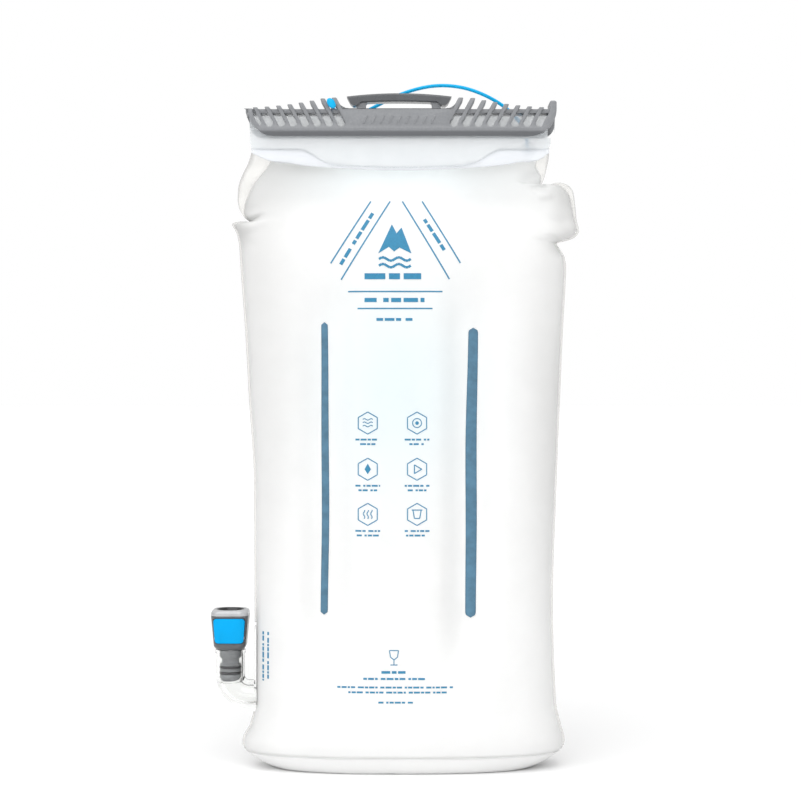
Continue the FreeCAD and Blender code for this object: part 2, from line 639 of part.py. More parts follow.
def elbow_port():
    bend_x = PORT_X + BEND_R
    body = bent_tube(ELBOW_R, ELBOW_TOP_Z, FLANGE_OUT_X + 0.2)
    collar = tube(ELBOW_R + 0.5, ELBOW_TOP_Z - 2.2, ELBOW_TOP_Z)
    half = FLANGE_HALF_DEPTH
    flange = box(FLANGE_OUT_X, FLANGE_IN_X, -half, half, FLANGE_LOW_Z, FLANGE_HIGH_Z)
    corners = [edge for edge in flange.Edges if abs(edge.CenterOfMass.y) > half - 0.1]
    corners = [edge for edge in corners if abs(edge.CenterOfMass.x - (FLANGE_OUT_X + FLANGE_IN_X) / 2) < 0.1]
    flange = flange.makeFillet(7.0, corners)
    spigot = Part.makeCylinder(SPIGOT_R, SPIGOT_END_X - bend_x, Vector(bend_x, 0, OUTLET_Z), Vector(1, 0, 0))
    web_end_x = FLANGE_OUT_X + 0.2
    web = prism_y([(PORT_X + 7.6, 50), (web_end_x, 50), (web_end_x, 74), (PORT_X + 8.4, 68)], -0.9, 0.9)
    whole = fused([body, collar, flange, spigot, web])
    bore = tube(ELBOW_BORE_R, ELBOW_BORE_FLOOR_Z, ELBOW_TOP_Z + 1)
    passage = bent_tube(PASSAGE_R, OUTLET_Z + BEND_R + 2, SPIGOT_END_X + 1)
    return whole.cut(fused([bore, passage]))


# ---- hose coupling ----------------------------------------------------------------------------------------
def turned(profile):
    """A solid of revolution about the coupling's axis, from an outline of (radius, height) corners."""
    corners = [Vector(PORT_X + r, 0, z) for r, z in profile]
    face = Part.Face(Part.makePolygon(corners + corners[:1]))
    return face.revolve(Vector(PORT_X, 0, 0), Vector(0, 0, 1), 360)


def rounded_rect(width, depth, radius, z):
    """A closed rounded-rectangle wire around the coupling's axis."""
    w, d = width / 2, depth / 2
    cut = radius * (1 - math.sqrt(0.5))
    edges = []
    for turn in range(4):
        a, b = (w, d) if turn % 2 == 0 else (d, w)
        start, stop = Vector(a, -(b - radius), z), Vector(a, b - radius, z)
        around, after = Vector(a - cut, b - cut, z), Vector(a - radius, b, z)
        spin = FreeCAD.Rotation(Vector(0, 0, 1), 90 * turn)
        place = [spin.multVec(p) + Vector(PORT_X, 0, 0) for p in (start, stop, around, after)]
        edges.append(Part.makeLine(place[0], place[1]))
        edges.append(Part.Arc(place[1], place[2], place[3]).toShape())
    return Part.Wire(edges)


def head_block(grow=0.0):
    """The coupling head's tapered block, without its bore and pocket."""
    sections = [
        (HEAD_LOW_Z, 17.6, 17.4, 5.6),
        (HEAD_LOW_Z + 1.8, 19.6, 19.8, 5.4),
        (HEAD_HIGH_Z, 22.9, 22.2, 5.4),
    ]
    return Part.makeLoft([rounded_rect(w + grow, d + grow, r, z) for z, w, d, r in sections], True, True)


def button_outline(inset):
    """The button's rounded trapezoid in XZ, as a prism through the head's front."""
    low, high = BUTTON_LOW_Z + inset, BUTTON_HIGH_Z - inset
    bottom, top = 9.0 - inset, 10.0 - inset
    corners = [(PORT_X - bottom, low), (PORT_X + bottom, low), (PORT_X + top, high), (PORT_X - top, high)]
    solid = prism_y(corners, -14, POCKET_Y)
    deep = [edge for edge in solid.Edges if edge.BoundBox.YLength > 6]
    return solid.makeFillet(2.0, deep)


def latch_slot():
    half = LATCH_THICK / 2 + 0.15
    return box(PORT_X - 8.6, PORT_X + 8.6, -13, 8.9, LATCH_Z - half, LATCH_Z + half)


def spring_pockets():
    places = (PORT_X - LATCH_SPRING_X, PORT_X + LATCH_SPRING_X)
    return [along_y(1.3, -8.0, -3.4, x, LATCH_SPRING_Z) for x in places]


def ring(radius, wire_radius, z):
    return Part.makeTorus(radius, wire_radius, Vector(PORT_X, 0, z), Vector(0, 0, 1))


def coupling_head():
    groove = tube(RING_R + RING_WIRE_R + 0.08, RING_Z - 0.85, RING_Z + 0.85)
    cuts = [button_outline(0.0), latch_slot(), groove]
    cuts += [tube(LEAD_R, SEAL_HIGH_Z, HEAD_HIGH_Z + 1), tube(SEAL_R, SEAL_LOW_Z - 1, SEAL_HIGH_Z + 1)]
    cuts += [tube(STEM_PLUG_R, HEAD_LOW_Z - 1, SEAL_LOW_Z)] + spring_pockets()
    return head_block().cut(fused(cuts))


def socket_bezel():
    """The bright rim ring on top of the coupling, with the funnel that leads the hose plug in."""
    sections = [
        (HEAD_HIGH_Z, 22.9, 22.2, 5.4),
        (BEZEL_HIGH_Z - 1.5, 22.6, 21.9, 5.6),
        (BEZEL_HIGH_Z - 0.5, 21.4, 20.7, 5.8),
        (BEZEL_HIGH_Z, 19.8, 19.2, 6.4),
    ]
    block = Part.makeLoft([rounded_rect(w, d, r, z) for z, w, d, r in sections], True, True)
    funnel = Part.makeCone(LEAD_R, MOUTH_R, BEZEL_HIGH_Z - HEAD_HIGH_Z + 0.01, Vector(PORT_X, 0, HEAD_HIGH_Z))
    return block.cut(funnel)


def coupling_stem():
    """The ribbed stem that pushes into the elbow, with the valve chamber inside."""
    profile = [
        (SEAT_R, SEAL_LOW_Z),
        (STEM_PLUG_R, SEAL_LOW_Z),
        (STEM_PLUG_R, HEAD_LOW_Z),
        (STEM_COLLAR_R, HEAD_LOW_Z - 0.1),
        (STEM_COLLAR_R, 67.6),
        (STEM_COLLAR_R - 0.5, 66.8),
        (STEM_NECK_R, 65.8),
        (STEM_NECK_R, 63.4),
        (STEM_RIB_R, 62.6),
    ]
    for z in sorted(STEM_RING_Z, reverse=True):
        groove_r = STEM_RING_R - 0.8
        low, high = z - 0.85, z + 0.85
        profile += [(STEM_RIB_R, high), (groove_r, high), (groove_r, low), (STEM_RIB_R, low)]
    profile += [
        (STEM_RIB_R, STEM_LOW_Z + 2.4),
        (STEM_RIB_R - 0.9, STEM_LOW_Z + 0.6),
        (STEM_RIB_R - 2.0, STEM_LOW_Z),
        (STEM_BORE_R, STEM_LOW_Z),
        (STEM_BORE_R, SEAT_LOW_Z - 1.0),
        (SEAT_R, SEAT_LOW_Z),
    ]
    return turned(profile)


def valve_retainer():
    """The spoked disc that carries the valve spring at the stem's lower end."""
    disc = tube(STEM_BORE_R - 0.02, STEM_LOW_Z + 0.3, STEM_LOW_Z + 1.5)
    windows = []
    for k in range(3):
        window = tube(STEM_BORE_R - 0.8, STEM_LOW_Z, STEM_LOW_Z + 2)
        window = window.cut(tube(1.9, STEM_LOW_Z, STEM_LOW_Z + 2))
        sector = box(PORT_X, PORT_X + 6, 0.5, 6, STEM_LOW_Z, STEM_LOW_Z + 2)
        sector.rotate(Vector(PORT_X, 0, 0), Vector(0, 0, 1), 120 * k)
        windows.append(window.common(sector))
    return disc.cut(fused(windows)).cut(tube(1.15, STEM_LOW_Z, STEM_LOW_Z + 2))


def valve_poppet():
    """The spring-loaded poppet: a guide stem, a sealing head and the probe that the hose plug pushes."""
    profile = [
        (0.0, PROBE_TOP_Z),
        (1.1, PROBE_TOP_Z),
        (1.3, PROBE_TOP_Z - 0.3),
        (1.3, SEAT_LOW_Z + 0.1),
        (NECK_R, SEAT_LOW_Z - 0.3),
        (NECK_R, POPPET_Z),
        (POPPET_R, POPPET_Z),
        (POPPET_R, POPPET_Z - 1.2),
        (1.0, POPPET_Z - 1.2),
        (1.0, STEM_LOW_Z + 0.5),
        (0.0, STEM_LOW_Z + 0.5),
    ]
    return turned(profile)


def coil(radius, wire_radius, length, turns):
    """A helical spring that stands on z = 0."""
    pitch = (length - 2 * wire_radius) / turns
    helix = Part.makeHelix(pitch, pitch * turns, radius)
    helix.translate(Vector(0, 0, wire_radius))
    start = Vector(radius, 0, wire_radius)
    circle = Part.Wire(Part.makeCircle(wire_radius, start, Vector(0, 1, pitch / (2 * math.pi * radius))))
    return Part.Wire(helix).makePipeShell([circle], True, True)


def valve_spring():
    low, high = STEM_LOW_Z + 1.55, POPPET_Z - 1.25
    spring = coil(2.7, 0.3, high - low, 7)
    spring.translate(Vector(PORT_X, 0, low))
    return spring


def latch_springs():
    length = -BUTTON_BACK_Y - 3.5
    made = []
    for side in (-1, 1):
        spring = coil(0.85, 0.2, length, 6)
        spring.rotate(Vector(0, 0, 0), Vector(1, 0, 0), -90)
        spring.translate(Vector(PORT_X + side * LATCH_SPRING_X, BUTTON_BACK_Y + 0.05, LATCH_SPRING_Z))
        made.append(spring)
    return Part.makeCompound(made)


def release_button():
    cap = head_block(0.9).common(button_outline(0.25))
    return cap.cut(box(PORT_X - 14, PORT_X + 14, BUTTON_BACK_Y, 0, 70, 100))


def latch_plate():
    """The sliding plate whose off-centre hole locks the hose plug until the button is pushed."""
    low, high = LATCH_Z - LATCH_THICK / 2, LATCH_Z + LATCH_THICK / 2
    sheet = box(PORT_X - 8.3, PORT_X + 8.3, BUTTON_BACK_Y, 7.1, low, high)
    corners = [edge for edge in sheet.Edges if edge.Length < LATCH_THICK + 0.1 and edge.CenterOfMass.y > 0]
    sheet = sheet.makeFillet(4.0, corners)
    return sheet.cut(tube(LEAD_R + 0.2, low - 1, high + 1, PORT_X, -LATCH_TRAVEL))


def build():
    """Every sub-part, by the name of its node."""
    left_x, right_x = BAFFLE_LEFT_X, BAFFLE_RIGHT_X
    parts = {
        "front_panel": film_panel(-1),
        "back_panel": film_panel(1),
        "base_gusset": base_gusset(),
        "base_seam": base_seam(),
        "left_seam_upper": side_seam(-1, FLANGE_HIGH_Z + 1, NECK_Z - 8),
        "left_seam_lower": side_seam(-1, SEAM_Z + 2, FLANGE_LOW_Z - 1),
        "right_seam": side_seam(1, SEAM_Z + 2, NECK_Z - 8),
        "baffle_web_left": baffle_web(left_x),
        "baffle_web_right": baffle_web(right_x),
        "weld_strip_front_left": weld_strip(left_x, LEFT_STRIP_WIDTH, -1),
        "weld_strip_front_right": weld_strip(right_x, RIGHT_STRIP_WIDTH, -1),
        "weld_strip_back_left": weld_strip(left_x, LEFT_STRIP_WIDTH, 1),
        "weld_strip_back_right": weld_strip(right_x, RIGHT_STRIP_WIDTH, 1),
        "front_rail": rail(-1),
        "back_rail": rail(1),
        "slider": slider(),
        "carry_handle": carry_handle(),
        "tether_toggle": tether_toggle(),
        "tether_cord": cord_solid(TETHER_ROUTE, TETHER_R),
        "tether_anchor": tether_anchor(),
        "elbow_port": elbow_port(),
        "coupling_head": coupling_head(),
        "socket_bezel": socket_bezel(),
        "coupling_stem": coupling_stem(),
        "stem_seals": Part.makeCompound([ring(STEM_RING_R, 0.75, z) for z in STEM_RING_Z]),
        "socket_seal": ring(RING_R, RING_WIRE_R, RING_Z),
        "release_button": release_button(),
        "latch_plate": latch_plate(),
        "latch_springs": latch_springs(),
        "valve_poppet": valve_poppet(),
        "poppet_seal": ring(NECK_R + POPPET_RING_WIRE_R, POPPET_RING_WIRE_R, POPPET_Z + POPPET_RING_WIRE_R),
        "valve_spring": valve_spring(),
        "valve_retainer": valve_retainer(),
    }
    return parts


os.makedirs("parts", exist_ok=True)
for name, shape in build().items():
    box_mm = shape.BoundBox
    state = "ok" if shape.isValid() and shape.Volume > 0 else "BROKEN"
    size = "%.1f x %.1f x %.1f" % (box_mm.XLength, box_mm.YLength, box_mm.ZLength)
    print("%-24s %s %d solid(s) %.1f mm3 %s" % (name, state, len(shape.Solids), shape.Volume, size))
    shape.exportStep("parts/%s.step" % name)
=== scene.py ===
"""Hydration bladder: a filled water bag of frosted film, its clear top and rails, its slide-off closure with
a tether cord, and the push-button hose coupling on a clear elbow.

Shapes are worked out in millimetres, in the CAD model's frame: +Z is up and -Y is the front.
"""

import math

import bmesh
import bpy
import numpy as np
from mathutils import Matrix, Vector, noise


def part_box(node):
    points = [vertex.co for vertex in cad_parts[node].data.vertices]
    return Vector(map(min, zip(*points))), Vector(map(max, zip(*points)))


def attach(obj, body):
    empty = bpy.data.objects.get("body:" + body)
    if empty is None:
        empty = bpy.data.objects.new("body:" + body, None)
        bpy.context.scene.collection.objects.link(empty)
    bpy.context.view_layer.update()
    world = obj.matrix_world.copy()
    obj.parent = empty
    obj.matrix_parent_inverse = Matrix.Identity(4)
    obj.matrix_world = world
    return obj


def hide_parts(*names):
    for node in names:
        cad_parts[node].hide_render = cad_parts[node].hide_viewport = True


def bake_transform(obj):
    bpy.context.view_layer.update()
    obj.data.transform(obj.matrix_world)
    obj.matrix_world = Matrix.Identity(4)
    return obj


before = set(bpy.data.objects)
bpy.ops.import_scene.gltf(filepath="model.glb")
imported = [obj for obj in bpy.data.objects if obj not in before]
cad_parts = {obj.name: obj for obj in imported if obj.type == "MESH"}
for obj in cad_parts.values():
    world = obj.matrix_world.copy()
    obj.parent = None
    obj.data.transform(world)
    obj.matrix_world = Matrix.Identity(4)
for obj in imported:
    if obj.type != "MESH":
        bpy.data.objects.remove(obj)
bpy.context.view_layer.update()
MM = 0.001
COUPLING_X = -104.7  # the hose coupling's upright axis

# ---- camera: level with the middle of the bag, straight on --------------------------------------------
CAMERA_DISTANCE = 1.05
CAMERA_HEIGHT = 0.2246
CAMERA_LENS = 76.6
camera = bpy.data.objects.new("camera", bpy.data.cameras.new("camera"))
camera.location = (0, -CAMERA_DISTANCE, CAMERA_HEIGHT)
camera.rotation_euler = (math.pi / 2, 0, 0)
camera.data.lens = CAMERA_LENS
camera.data.sensor_width = 36
bpy.context.scene.collection.objects.link(camera)
bpy.context.scene.camera = camera


# ---- small tools --------------------------------------------------------------------------------------
def smoothstep(low, high, value):
    share = np.clip((value - low) / (high - low), 0, 1)
    return share * share * (3 - 2 * share)


def monotone(places, values):
    """A smooth curve through the points that never overshoots them, as a function of an array."""
    places, values = np.array(places, float), np.array(values, float)
    steps = np.diff(places)
    rises = np.diff(values) / steps
    slopes = np.concatenate([[rises[0]], np.zeros(len(rises) - 1), [rises[-1]]])
    same = np.nonzero(rises[:-1] * rises[1:] > 0)[0]
    slopes[same + 1] = 2 * rises[same] * rises[same + 1] / (rises[same] + rises[same + 1])

    def at(place):
        place = np.clip(place, places[0], places[-1])
        i = np.clip(np.searchsorted(places, place, side="right") - 1, 0, len(steps) - 1)
        u = (place - places[i]) / steps[i]
        return (
            (2 * u**3 - 3 * u**2 + 1) * values[i]
            + (u**3 - 2 * u**2 + u) * steps[i] * slopes[i]
            + (3 * u**2 - 2 * u**3) * values[i + 1]
            + (u**3 - u**2) * steps[i] * slopes[i + 1]
        )

    return at


def curves_of(table):
    """One smooth curve for each column of a table whose first column is the place."""
    columns = list(zip(*table))
    return [monotone(columns[0], column) for column in columns[1:]]


def new_piece(name, verts, faces, material, body, replaced=()):
    """A smooth mesh piece, given in millimetres, that rides on a body."""
    mesh = bpy.data.meshes.new(name)
    mesh.from_pydata([tuple(c * MM for c in v) for v in verts], [], faces)
    mesh.validate()
    mesh.shade_smooth()
    return placed(name, mesh, material, body, replaced)


def placed(name, mesh, material, body, replaced=()):
    piece = bpy.data.objects.new(name, mesh)
    bpy.context.scene.collection.objects.link(piece)
    mesh.materials.append(material)
    if body:
        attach(piece, body)
    if replaced:
        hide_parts(*replaced)
    return piece


def grid_faces(rows, columns, closed=False):
    """Quads between the rows of a grid of points, numbered row by row."""
    around = columns if closed else columns - 1
    faces = []
    for r in range(rows - 1):
        for c in range(around):
            a, b = r * columns + c, r * columns + (c + 1) % columns
            faces.append((a, b, b + columns, a + columns))
    return faces


def thicken(piece, thickness, offset=-1.0):
    solidify = piece.modifiers.new("thickness", "SOLIDIFY")
    solidify.thickness = thickness * MM
    solidify.offset = offset
    solidify.use_even_offset = False


def set_layer(piece, name, values):
    layer = piece.data.attributes.new(name, "FLOAT", "POINT")
    layer.data.foreach_set("value", np.asarray(values, np.float32).ravel())


def ripple(x, z, size, seed):
    """Smooth noise between about -1 and 1, over lengths of the given size."""
    flat = [noise.noise(Vector((a / size, b / size, seed))) for a, b in zip(np.ravel(x), np.ravel(z))]
    return np.reshape(flat, np.shape(x))


def tube(path, radius, sides=16, closed=False):
    """Verts and faces of a round tube along a path of points, with capped ends unless it is closed."""
    points = [Vector(p) for p in path]
    count = len(points)
    verts, faces = [], []
    normal = None
    for i, point in enumerate(points):
        if closed:
            along = (points[(i + 1) % count] - points[i - 1]).normalized()
        else:
            along = (points[min(i + 1, count - 1)] - points[max(i - 1, 0)]).normalized()
        if normal is None:
            normal = along.orthogonal().normalized()
        normal = (normal - along * normal.dot(along)).normalized()
        side = along.cross(normal)
        for k in range(sides):
            turn = 2 * math.pi * k / sides
            verts.append(point + (normal * math.cos(turn) + side * math.sin(turn)) * radius)
    faces += [tuple(reversed(f)) for f in grid_faces(count, sides, True)]
    if closed:
        last = (count - 1) * sides
        faces += [(last + (k + 1) % sides, last + k, k, (k + 1) % sides) for k in range(sides)]
    else:
        faces.append(tuple(range(sides)))
        faces.append(tuple(reversed(range((count - 1) * sides, count * sides))))
    return verts, faces


# ---- materials ----------------------------------------------------------------------------------------
class Look:
    """A material under construction: one Principled shader, with noise behind its colour and relief."""

    def __init__(self, name, roughness, **fixed):
        self.material = bpy.data.materials.new(name)
        self.material.use_nodes = True
        self.nodes = self.material.node_tree.nodes
        self.links = self.material.node_tree.links
        self.shader = self.nodes["Principled BSDF"]
        self.place = self.nodes.new("ShaderNodeTexCoord").outputs["Object"]
        self.shader.inputs["Roughness"].default_value = roughness
        for socket, value in fixed.items():
            self.shader.inputs[socket.replace("_", " ")].default_value = value

    def noise(self, size, detail=3.0):
        """Noise whose blotches are about the given size in millimetres."""
        texture = self.nodes.new("ShaderNodeTexNoise")
        texture.inputs["Scale"].default_value = 1 / (size * MM)
        texture.inputs["Detail"].default_value = detail
        self.links.new(self.place, texture.inputs["Vector"])
        return texture.outputs["Fac"]

    def ranged(self, source, low, high, start=0.3, stop=0.7):
        node = self.nodes.new("ShaderNodeMapRange")
        for socket, value in (("From Min", start), ("From Max", stop), ("To Min", low), ("To Max", high)):
            node.inputs[socket].default_value = value
        self.links.new(source, node.inputs["Value"])
        return node.outputs["Result"]

    def mixed(self, share, first, second):
        """A colour between two; each is a plain colour or another node's output."""
        node = self.nodes.new("ShaderNodeMix")
        node.data_type = "RGBA"
        self.links.new(share, node.inputs["Factor"])
        for socket, colour in (("A", first), ("B", second)):
            target = [s for s in node.inputs if s.name == socket and s.type == "RGBA"][0]
            if isinstance(colour, bpy.types.NodeSocket):
                self.links.new(colour, target)
            else:
                target.default_value = (*colour, 1)
        return [s for s in node.outputs if s.type == "RGBA"][0]

    def layer(self, name):
        node = self.nodes.new("ShaderNodeAttribute")
        node.attribute_name = name
        return node.outputs["Fac"]

    def colour(self, source):
        self.links.new(source, self.shader.inputs["Base Color"])

    def mottled(self, colour, amount, size):
        low = tuple(c * (1 - amount) for c in colour)
        high = tuple(min(1, c * (1 + amount)) for c in colour)
        self.colour(self.mixed(self.ranged(self.noise(size), 0, 1), low, high))

    def uneven_gloss(self, low, high, size):
        self.links.new(self.ranged(self.noise(size), low, high), self.shader.inputs["Roughness"])

    def relief(self, size, depth):
        """Fine surface relief, depth in millimetres."""
        bump = self.nodes.new("ShaderNodeBump")
        bump.inputs["Strength"].default_value = 1.0
        bump.inputs["Distance"].default_value = depth * MM
        self.links.new(self.noise(size, 4.0), bump.inputs["Height"])
        self.links.new(bump.outputs["Normal"], self.shader.inputs["Normal"])


def moulded(name, colour, roughness, amount=0.08, size=4.0, grain=0.5, depth=0.03, **fixed):
    """Moulded plastic or rubber: faint blotches in its colour, uneven gloss and a fine grain."""
    look = Look(name, roughness, **fixed)
    look.mottled(colour, amount, size)
    look.uneven_gloss(roughness - 0.05, roughness + 0.05, size * 2)
    look.relief(grain, depth)
    return look.material


def frosted_film():
    """Frosted film: near white, greyer by painted shade where its shade layer says, bluish where haze says.
    """
    look = Look("frosted_film", 0.44, Transmission_Weight=0.22, IOR=1.3, Specular_IOR_Level=0.35)
    clean = look.mixed(look.ranged(look.noise(14), 0, 1), (0.955, 0.955, 0.95), (0.98, 0.98, 0.975))
    hazy = look.mixed(look.layer("haze"), clean, (0.80, 0.94, 0.98))
    # Painted shade: this grey stands in for the shading at the bag's sides, dog-ears, top and base.
    look.colour(look.mixed(look.layer("shade"), hazy, (0.375, 0.37, 0.355)))
    look.uneven_gloss(0.38, 0.50, 25)
    look.relief(0.9, 0.012)
    return look.material


def clear_film(name, colour, alpha, painted_edge_shade):
    """Thin clear film, darkened towards the given edge colour, a painted shade line, where its edge layer
    says.
    """
    look = Look(name, 0.16, Alpha=alpha, IOR=1.3)
    plain = look.mixed(look.ranged(look.noise(9), 0, 1), tuple(0.97 * c for c in colour), colour)
    look.colour(look.mixed(look.layer("painted_edge_shade"), plain, painted_edge_shade))
    look.relief(6.0, 0.08)
    return look.material


def clear_moulding(name, colour, roughness):
    look = Look(name, roughness, Transmission_Weight=1.0, IOR=1.4)
    look.mottled(colour, 0.02, 12)
    look.relief(5.0, 0.03)
    return look.material


SHADED_SLOPE_LOW_Z, SHADED_SLOPE_HIGH_Z = 388.9, 390.1


def satin_moulding():
    """Grey satin plastic, with painted shade: darker on the downward-facing chamfer along the slider's lower
    edge.
    """
    look = Look("satin_grey", 0.36)
    plain = look.mixed(look.ranged(look.noise(1.4), 0, 1), (0.220, 0.227, 0.240), (0.250, 0.257, 0.270))
    split = look.nodes.new("ShaderNodeSeparateXYZ")
    look.links.new(look.place, split.inputs["Vector"])
    # Painted shade: the colour darkens to near black-grey between these two heights.
    shaded_slope = look.ranged(split.outputs["Z"], 1, 0, SHADED_SLOPE_LOW_Z * MM, SHADED_SLOPE_HIGH_Z * MM)
    look.colour(look.mixed(shaded_slope, plain, (0.125, 0.130, 0.140)))
    look.uneven_gloss(0.31, 0.41, 2.8)
    look.relief(0.5, 0.015)
    return look.material


def silvered():
    """Bright moulding, near black inside the bore where its layer says: painted shade."""
    look = Look("bezel_silver", 0.22, Metallic=0.2)
    bright = look.mixed(look.ranged(look.noise(5), 0, 1), (0.44, 0.445, 0.46), (0.50, 0.505, 0.52))
    look.colour(look.mixed(look.layer("painted_bore_shade"), bright, (0.03, 0.03, 0.032)))
    look.uneven_gloss(0.18, 0.28, 8)
    look.relief(2.0, 0.01)
    return look.material


FILM = frosted_film()
# The last colour of each clear film is its painted edge shade.
CLEAR_FILM = clear_film("clear_film", (0.93, 0.96, 1.0), 0.30, (0.5, 0.52, 0.54))
CLEAR_SEAM = clear_film("clear_seam", (0.84, 0.83, 0.80), 0.40, (0.46, 0.455, 0.44))
CLEAR_RAIL = clear_film("clear_rail", (0.87, 0.90, 0.92), 0.30, (0.5, 0.52, 0.54))
CLEAR_PORT = clear_moulding("clear_port", (0.94, 0.945, 0.935), 0.05)
SLIDER = satin_moulding()
HANDLE = moulded("gloss_grey", (0.088, 0.092, 0.099), 0.28, 0.05, 6.0, 1.5, 0.01, Coat_Weight=0.2)
HEAD = moulded("coupling_grey", (0.095, 0.097, 0.103), 0.30, 0.05, 5.0, 1.5, 0.01, Coat_Weight=0.15)
STEM = moulded("stem_grey", (0.26, 0.27, 0.285), 0.38, 0.06, 3.0)
BEZEL = silvered()
BUTTON = moulded("button_blue", (0.0, 0.37, 0.78), 0.36, 0.03, 8.0, 1.2, 0.01, Specular_IOR_Level=0.1)
CORD = moulded("tether_blue", (0.0, 0.45, 0.84), 0.42, 0.05, 3.0, 0.6, 0.02, Specular_IOR_Level=0.25)
RUBBER = moulded("seal_rubber", (0.03, 0.03, 0.035), 0.42, 0.1, 2.0)
STEEL = moulded("steel", (0.55, 0.56, 0.58), 0.30, 0.05, 2.0, 0.4, 0.01, Metallic=1.0)
VALVE = moulded("valve_white", (0.80, 0.80, 0.78), 0.35, 0.03, 4.0)
WELD = moulded("weld_teal", (0.070, 0.175, 0.265), 0.46, 0.16, 5.0, 1.4, 0.06)
INK = moulded("teal_ink", (0.022, 0.215, 0.385), 0.55, 0.10, 1.2, 0.6, 0.01)

# ---- tether cord: its route's points are the CAD cord's, in millimetres -------------------------------
CORD_DIAMETER = 2.2
CORD_ROUTE = [
    (-42.25, -8.1, 406.1),
    (-42.25, 1.5, 406.1),
    (-41.9, 10.8, 405.9),
    (-37.6, 15.9, 403.8),
    (-31.0, 17.2, 402.4),
    (-23.5, 16.8, 404.4),
    (-12.0, 15.6, 410.4),
    (2.0, 14.8, 417.0),
    (20.0, 14.4, 421.6),
    (38.0, 14.6, 420.8),
    (54.0, 15.2, 415.2),
    (66.8, 16.4, 407.4),
    (75.2, 17.6, 398.8),
    (78.9, 18.3, 391.0),
    (79.3, 17.0, 383.6),
    (79.0, 12.2, 379.5),
    (79.0, 6.4, 379.5),
]


def smooth_line(route):
    """Points along the smooth curve that a route's points control."""
    data = bpy.data.curves.new("route", "CURVE")
    data.dimensions = "3D"
    data.resolution_u = 10
    spline = data.splines.new("NURBS")
    spline.points.add(len(route) - 1)
    for point, place in zip(spline.points, route):
        point.co = (*(c * MM for c in place), 1)
    spline.order_u = 3
    spline.use_endpoint_u = True
    carrier = bpy.data.objects.new("route", data)
    bpy.context.scene.collection.objects.link(carrier)
    mesh = bpy.data.meshes.new_from_object(carrier)
    line = [vertex.co.copy() for vertex in mesh.vertices]
    bpy.data.objects.remove(carrier)
    bpy.data.meshes.remove(mesh)
    return line


cord_line = smooth_line(CORD_ROUTE)
verts, faces = tube([p / MM for p in cord_line], CORD_DIAMETER / 2)
cord = new_piece("tether_cord_line", verts, faces, CORD, None, ["tether_cord"])
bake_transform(cord)


# ---- moulded parts: CAD shapes with their sharp edges rounded off -------------------------------------
SHARP_ANGLE = 32.0  # degrees between faces; an edge sharper than this is rounded


def softened(node, radius, material, body, plain_y=None):
    """A CAD part with its edges rounded: given plain_y, only outward ones that aren't in that plane of y."""
    form = bmesh.new()
    form.from_mesh(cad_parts[node].data)
    bmesh.ops.remove_doubles(form, verts=form.verts, dist=1e-6)
    bmesh.ops.dissolve_limit(form, angle_limit=math.radians(0.8), verts=form.verts, edges=form.edges)
    sharp = math.radians(SHARP_ANGLE)
    corners = [e for e in form.edges if len(e.link_faces) == 2 and e.calc_face_angle(0) > sharp]
    if plain_y is not None:
        outward = [e for e in corners if e.is_convex]
        corners = [e for e in outward if any(abs(v.co.y / MM - plain_y) > 0.1 for v in e.verts)]
    bmesh.ops.bevel(
        form, geom=corners, offset=radius * MM, segments=2, affect="EDGES", profile=0.5, loop_slide=True,
        clamp_overlap=False,
    )
    mesh = bpy.data.meshes.new(node + "_form")
    form.to_mesh(mesh)
    form.free()
    mesh.shade_smooth()
    mesh.set_sharp_from_angle(angle=math.radians(50))
    return placed(node + "_form", mesh, material, body, [node])


softened("slider", 0.30, SLIDER, "slider")
toggle_box = [Vector(corner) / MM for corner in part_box("tether_toggle")]
PILL_HALF_X, PILL_HALF_Y, PILL_HALF_Z = 2.5, 1.7, 3.1
PILL_LEAN = 1.0  # how far its top stands to the left of its middle


def toggle_pill():
    """The cord's stopper: an upright pill that leans with the comb's fins."""
    middle = (toggle_box[0] + toggle_box[1]) / 2
    form = bmesh.new()
    bmesh.ops.create_uvsphere(form, u_segments=32, v_segments=20, radius=1.0)
    for vertex in form.verts:
        x, y, z = vertex.co
        tall = math.copysign(abs(z) ** 0.8, z)
        place = Vector((PILL_HALF_X * x - PILL_LEAN * tall, PILL_HALF_Y * y, PILL_HALF_Z * tall)) + middle
        vertex.co = place * MM
    mesh = bpy.data.meshes.new("toggle_pill")
    form.to_mesh(mesh)
    form.free()
    mesh.shade_smooth()
    return placed("toggle_pill", mesh, CORD, "slider", ["tether_toggle"])


toggle = toggle_pill()
softened("coupling_head", 0.20, HEAD, "coupling", plain_y=-7.5)
bezel = softened("socket_bezel", 0.30, BEZEL, "coupling")
MOUTH_RADIUS, RIM_RADIUS = 8.3, 8.9
# Painted shade: the bezel goes near black within MOUTH_RADIUS of the coupling's axis.
from_axis = [math.hypot(v.co.x / MM - COUPLING_X, v.co.y / MM) for v in bezel.data.vertices]
set_layer(bezel, "painted_bore_shade", 1 - smoothstep(MOUTH_RADIUS, RIM_RADIUS, np.array(from_axis)))
softened("coupling_stem", 0.20, STEM, "coupling")
softened("release_button", 0.25, BUTTON, "button", plain_y=-9.2)
CAD_LOOKS = {
    "carry_handle": HANDLE,
    "front_rail": CLEAR_RAIL,
    "back_rail": CLEAR_RAIL,
    "tether_anchor": CLEAR_RAIL,
    "elbow_port": CLEAR_PORT,
    "stem_seals": RUBBER,
    "socket_seal": RUBBER,
    "poppet_seal": RUBBER,
    "latch_plate": STEEL,
    "valve_poppet": VALVE,
    "valve_retainer": VALVE,
}
for node, look in CAD_LOOKS.items():
    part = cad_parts[node]
    part.data.materials.clear()
    part.data.materials.append(look)


def sprung(node):
    """A steel copy of a spring's CAD coils, which takes the CAD part's place."""
    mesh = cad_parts[node].data.copy()
    mesh.materials.clear()
    coil = placed(node + "_coil", mesh, STEEL, None, [node])
    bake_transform(coil)


sprung("valve_spring")
sprung("latch_springs")

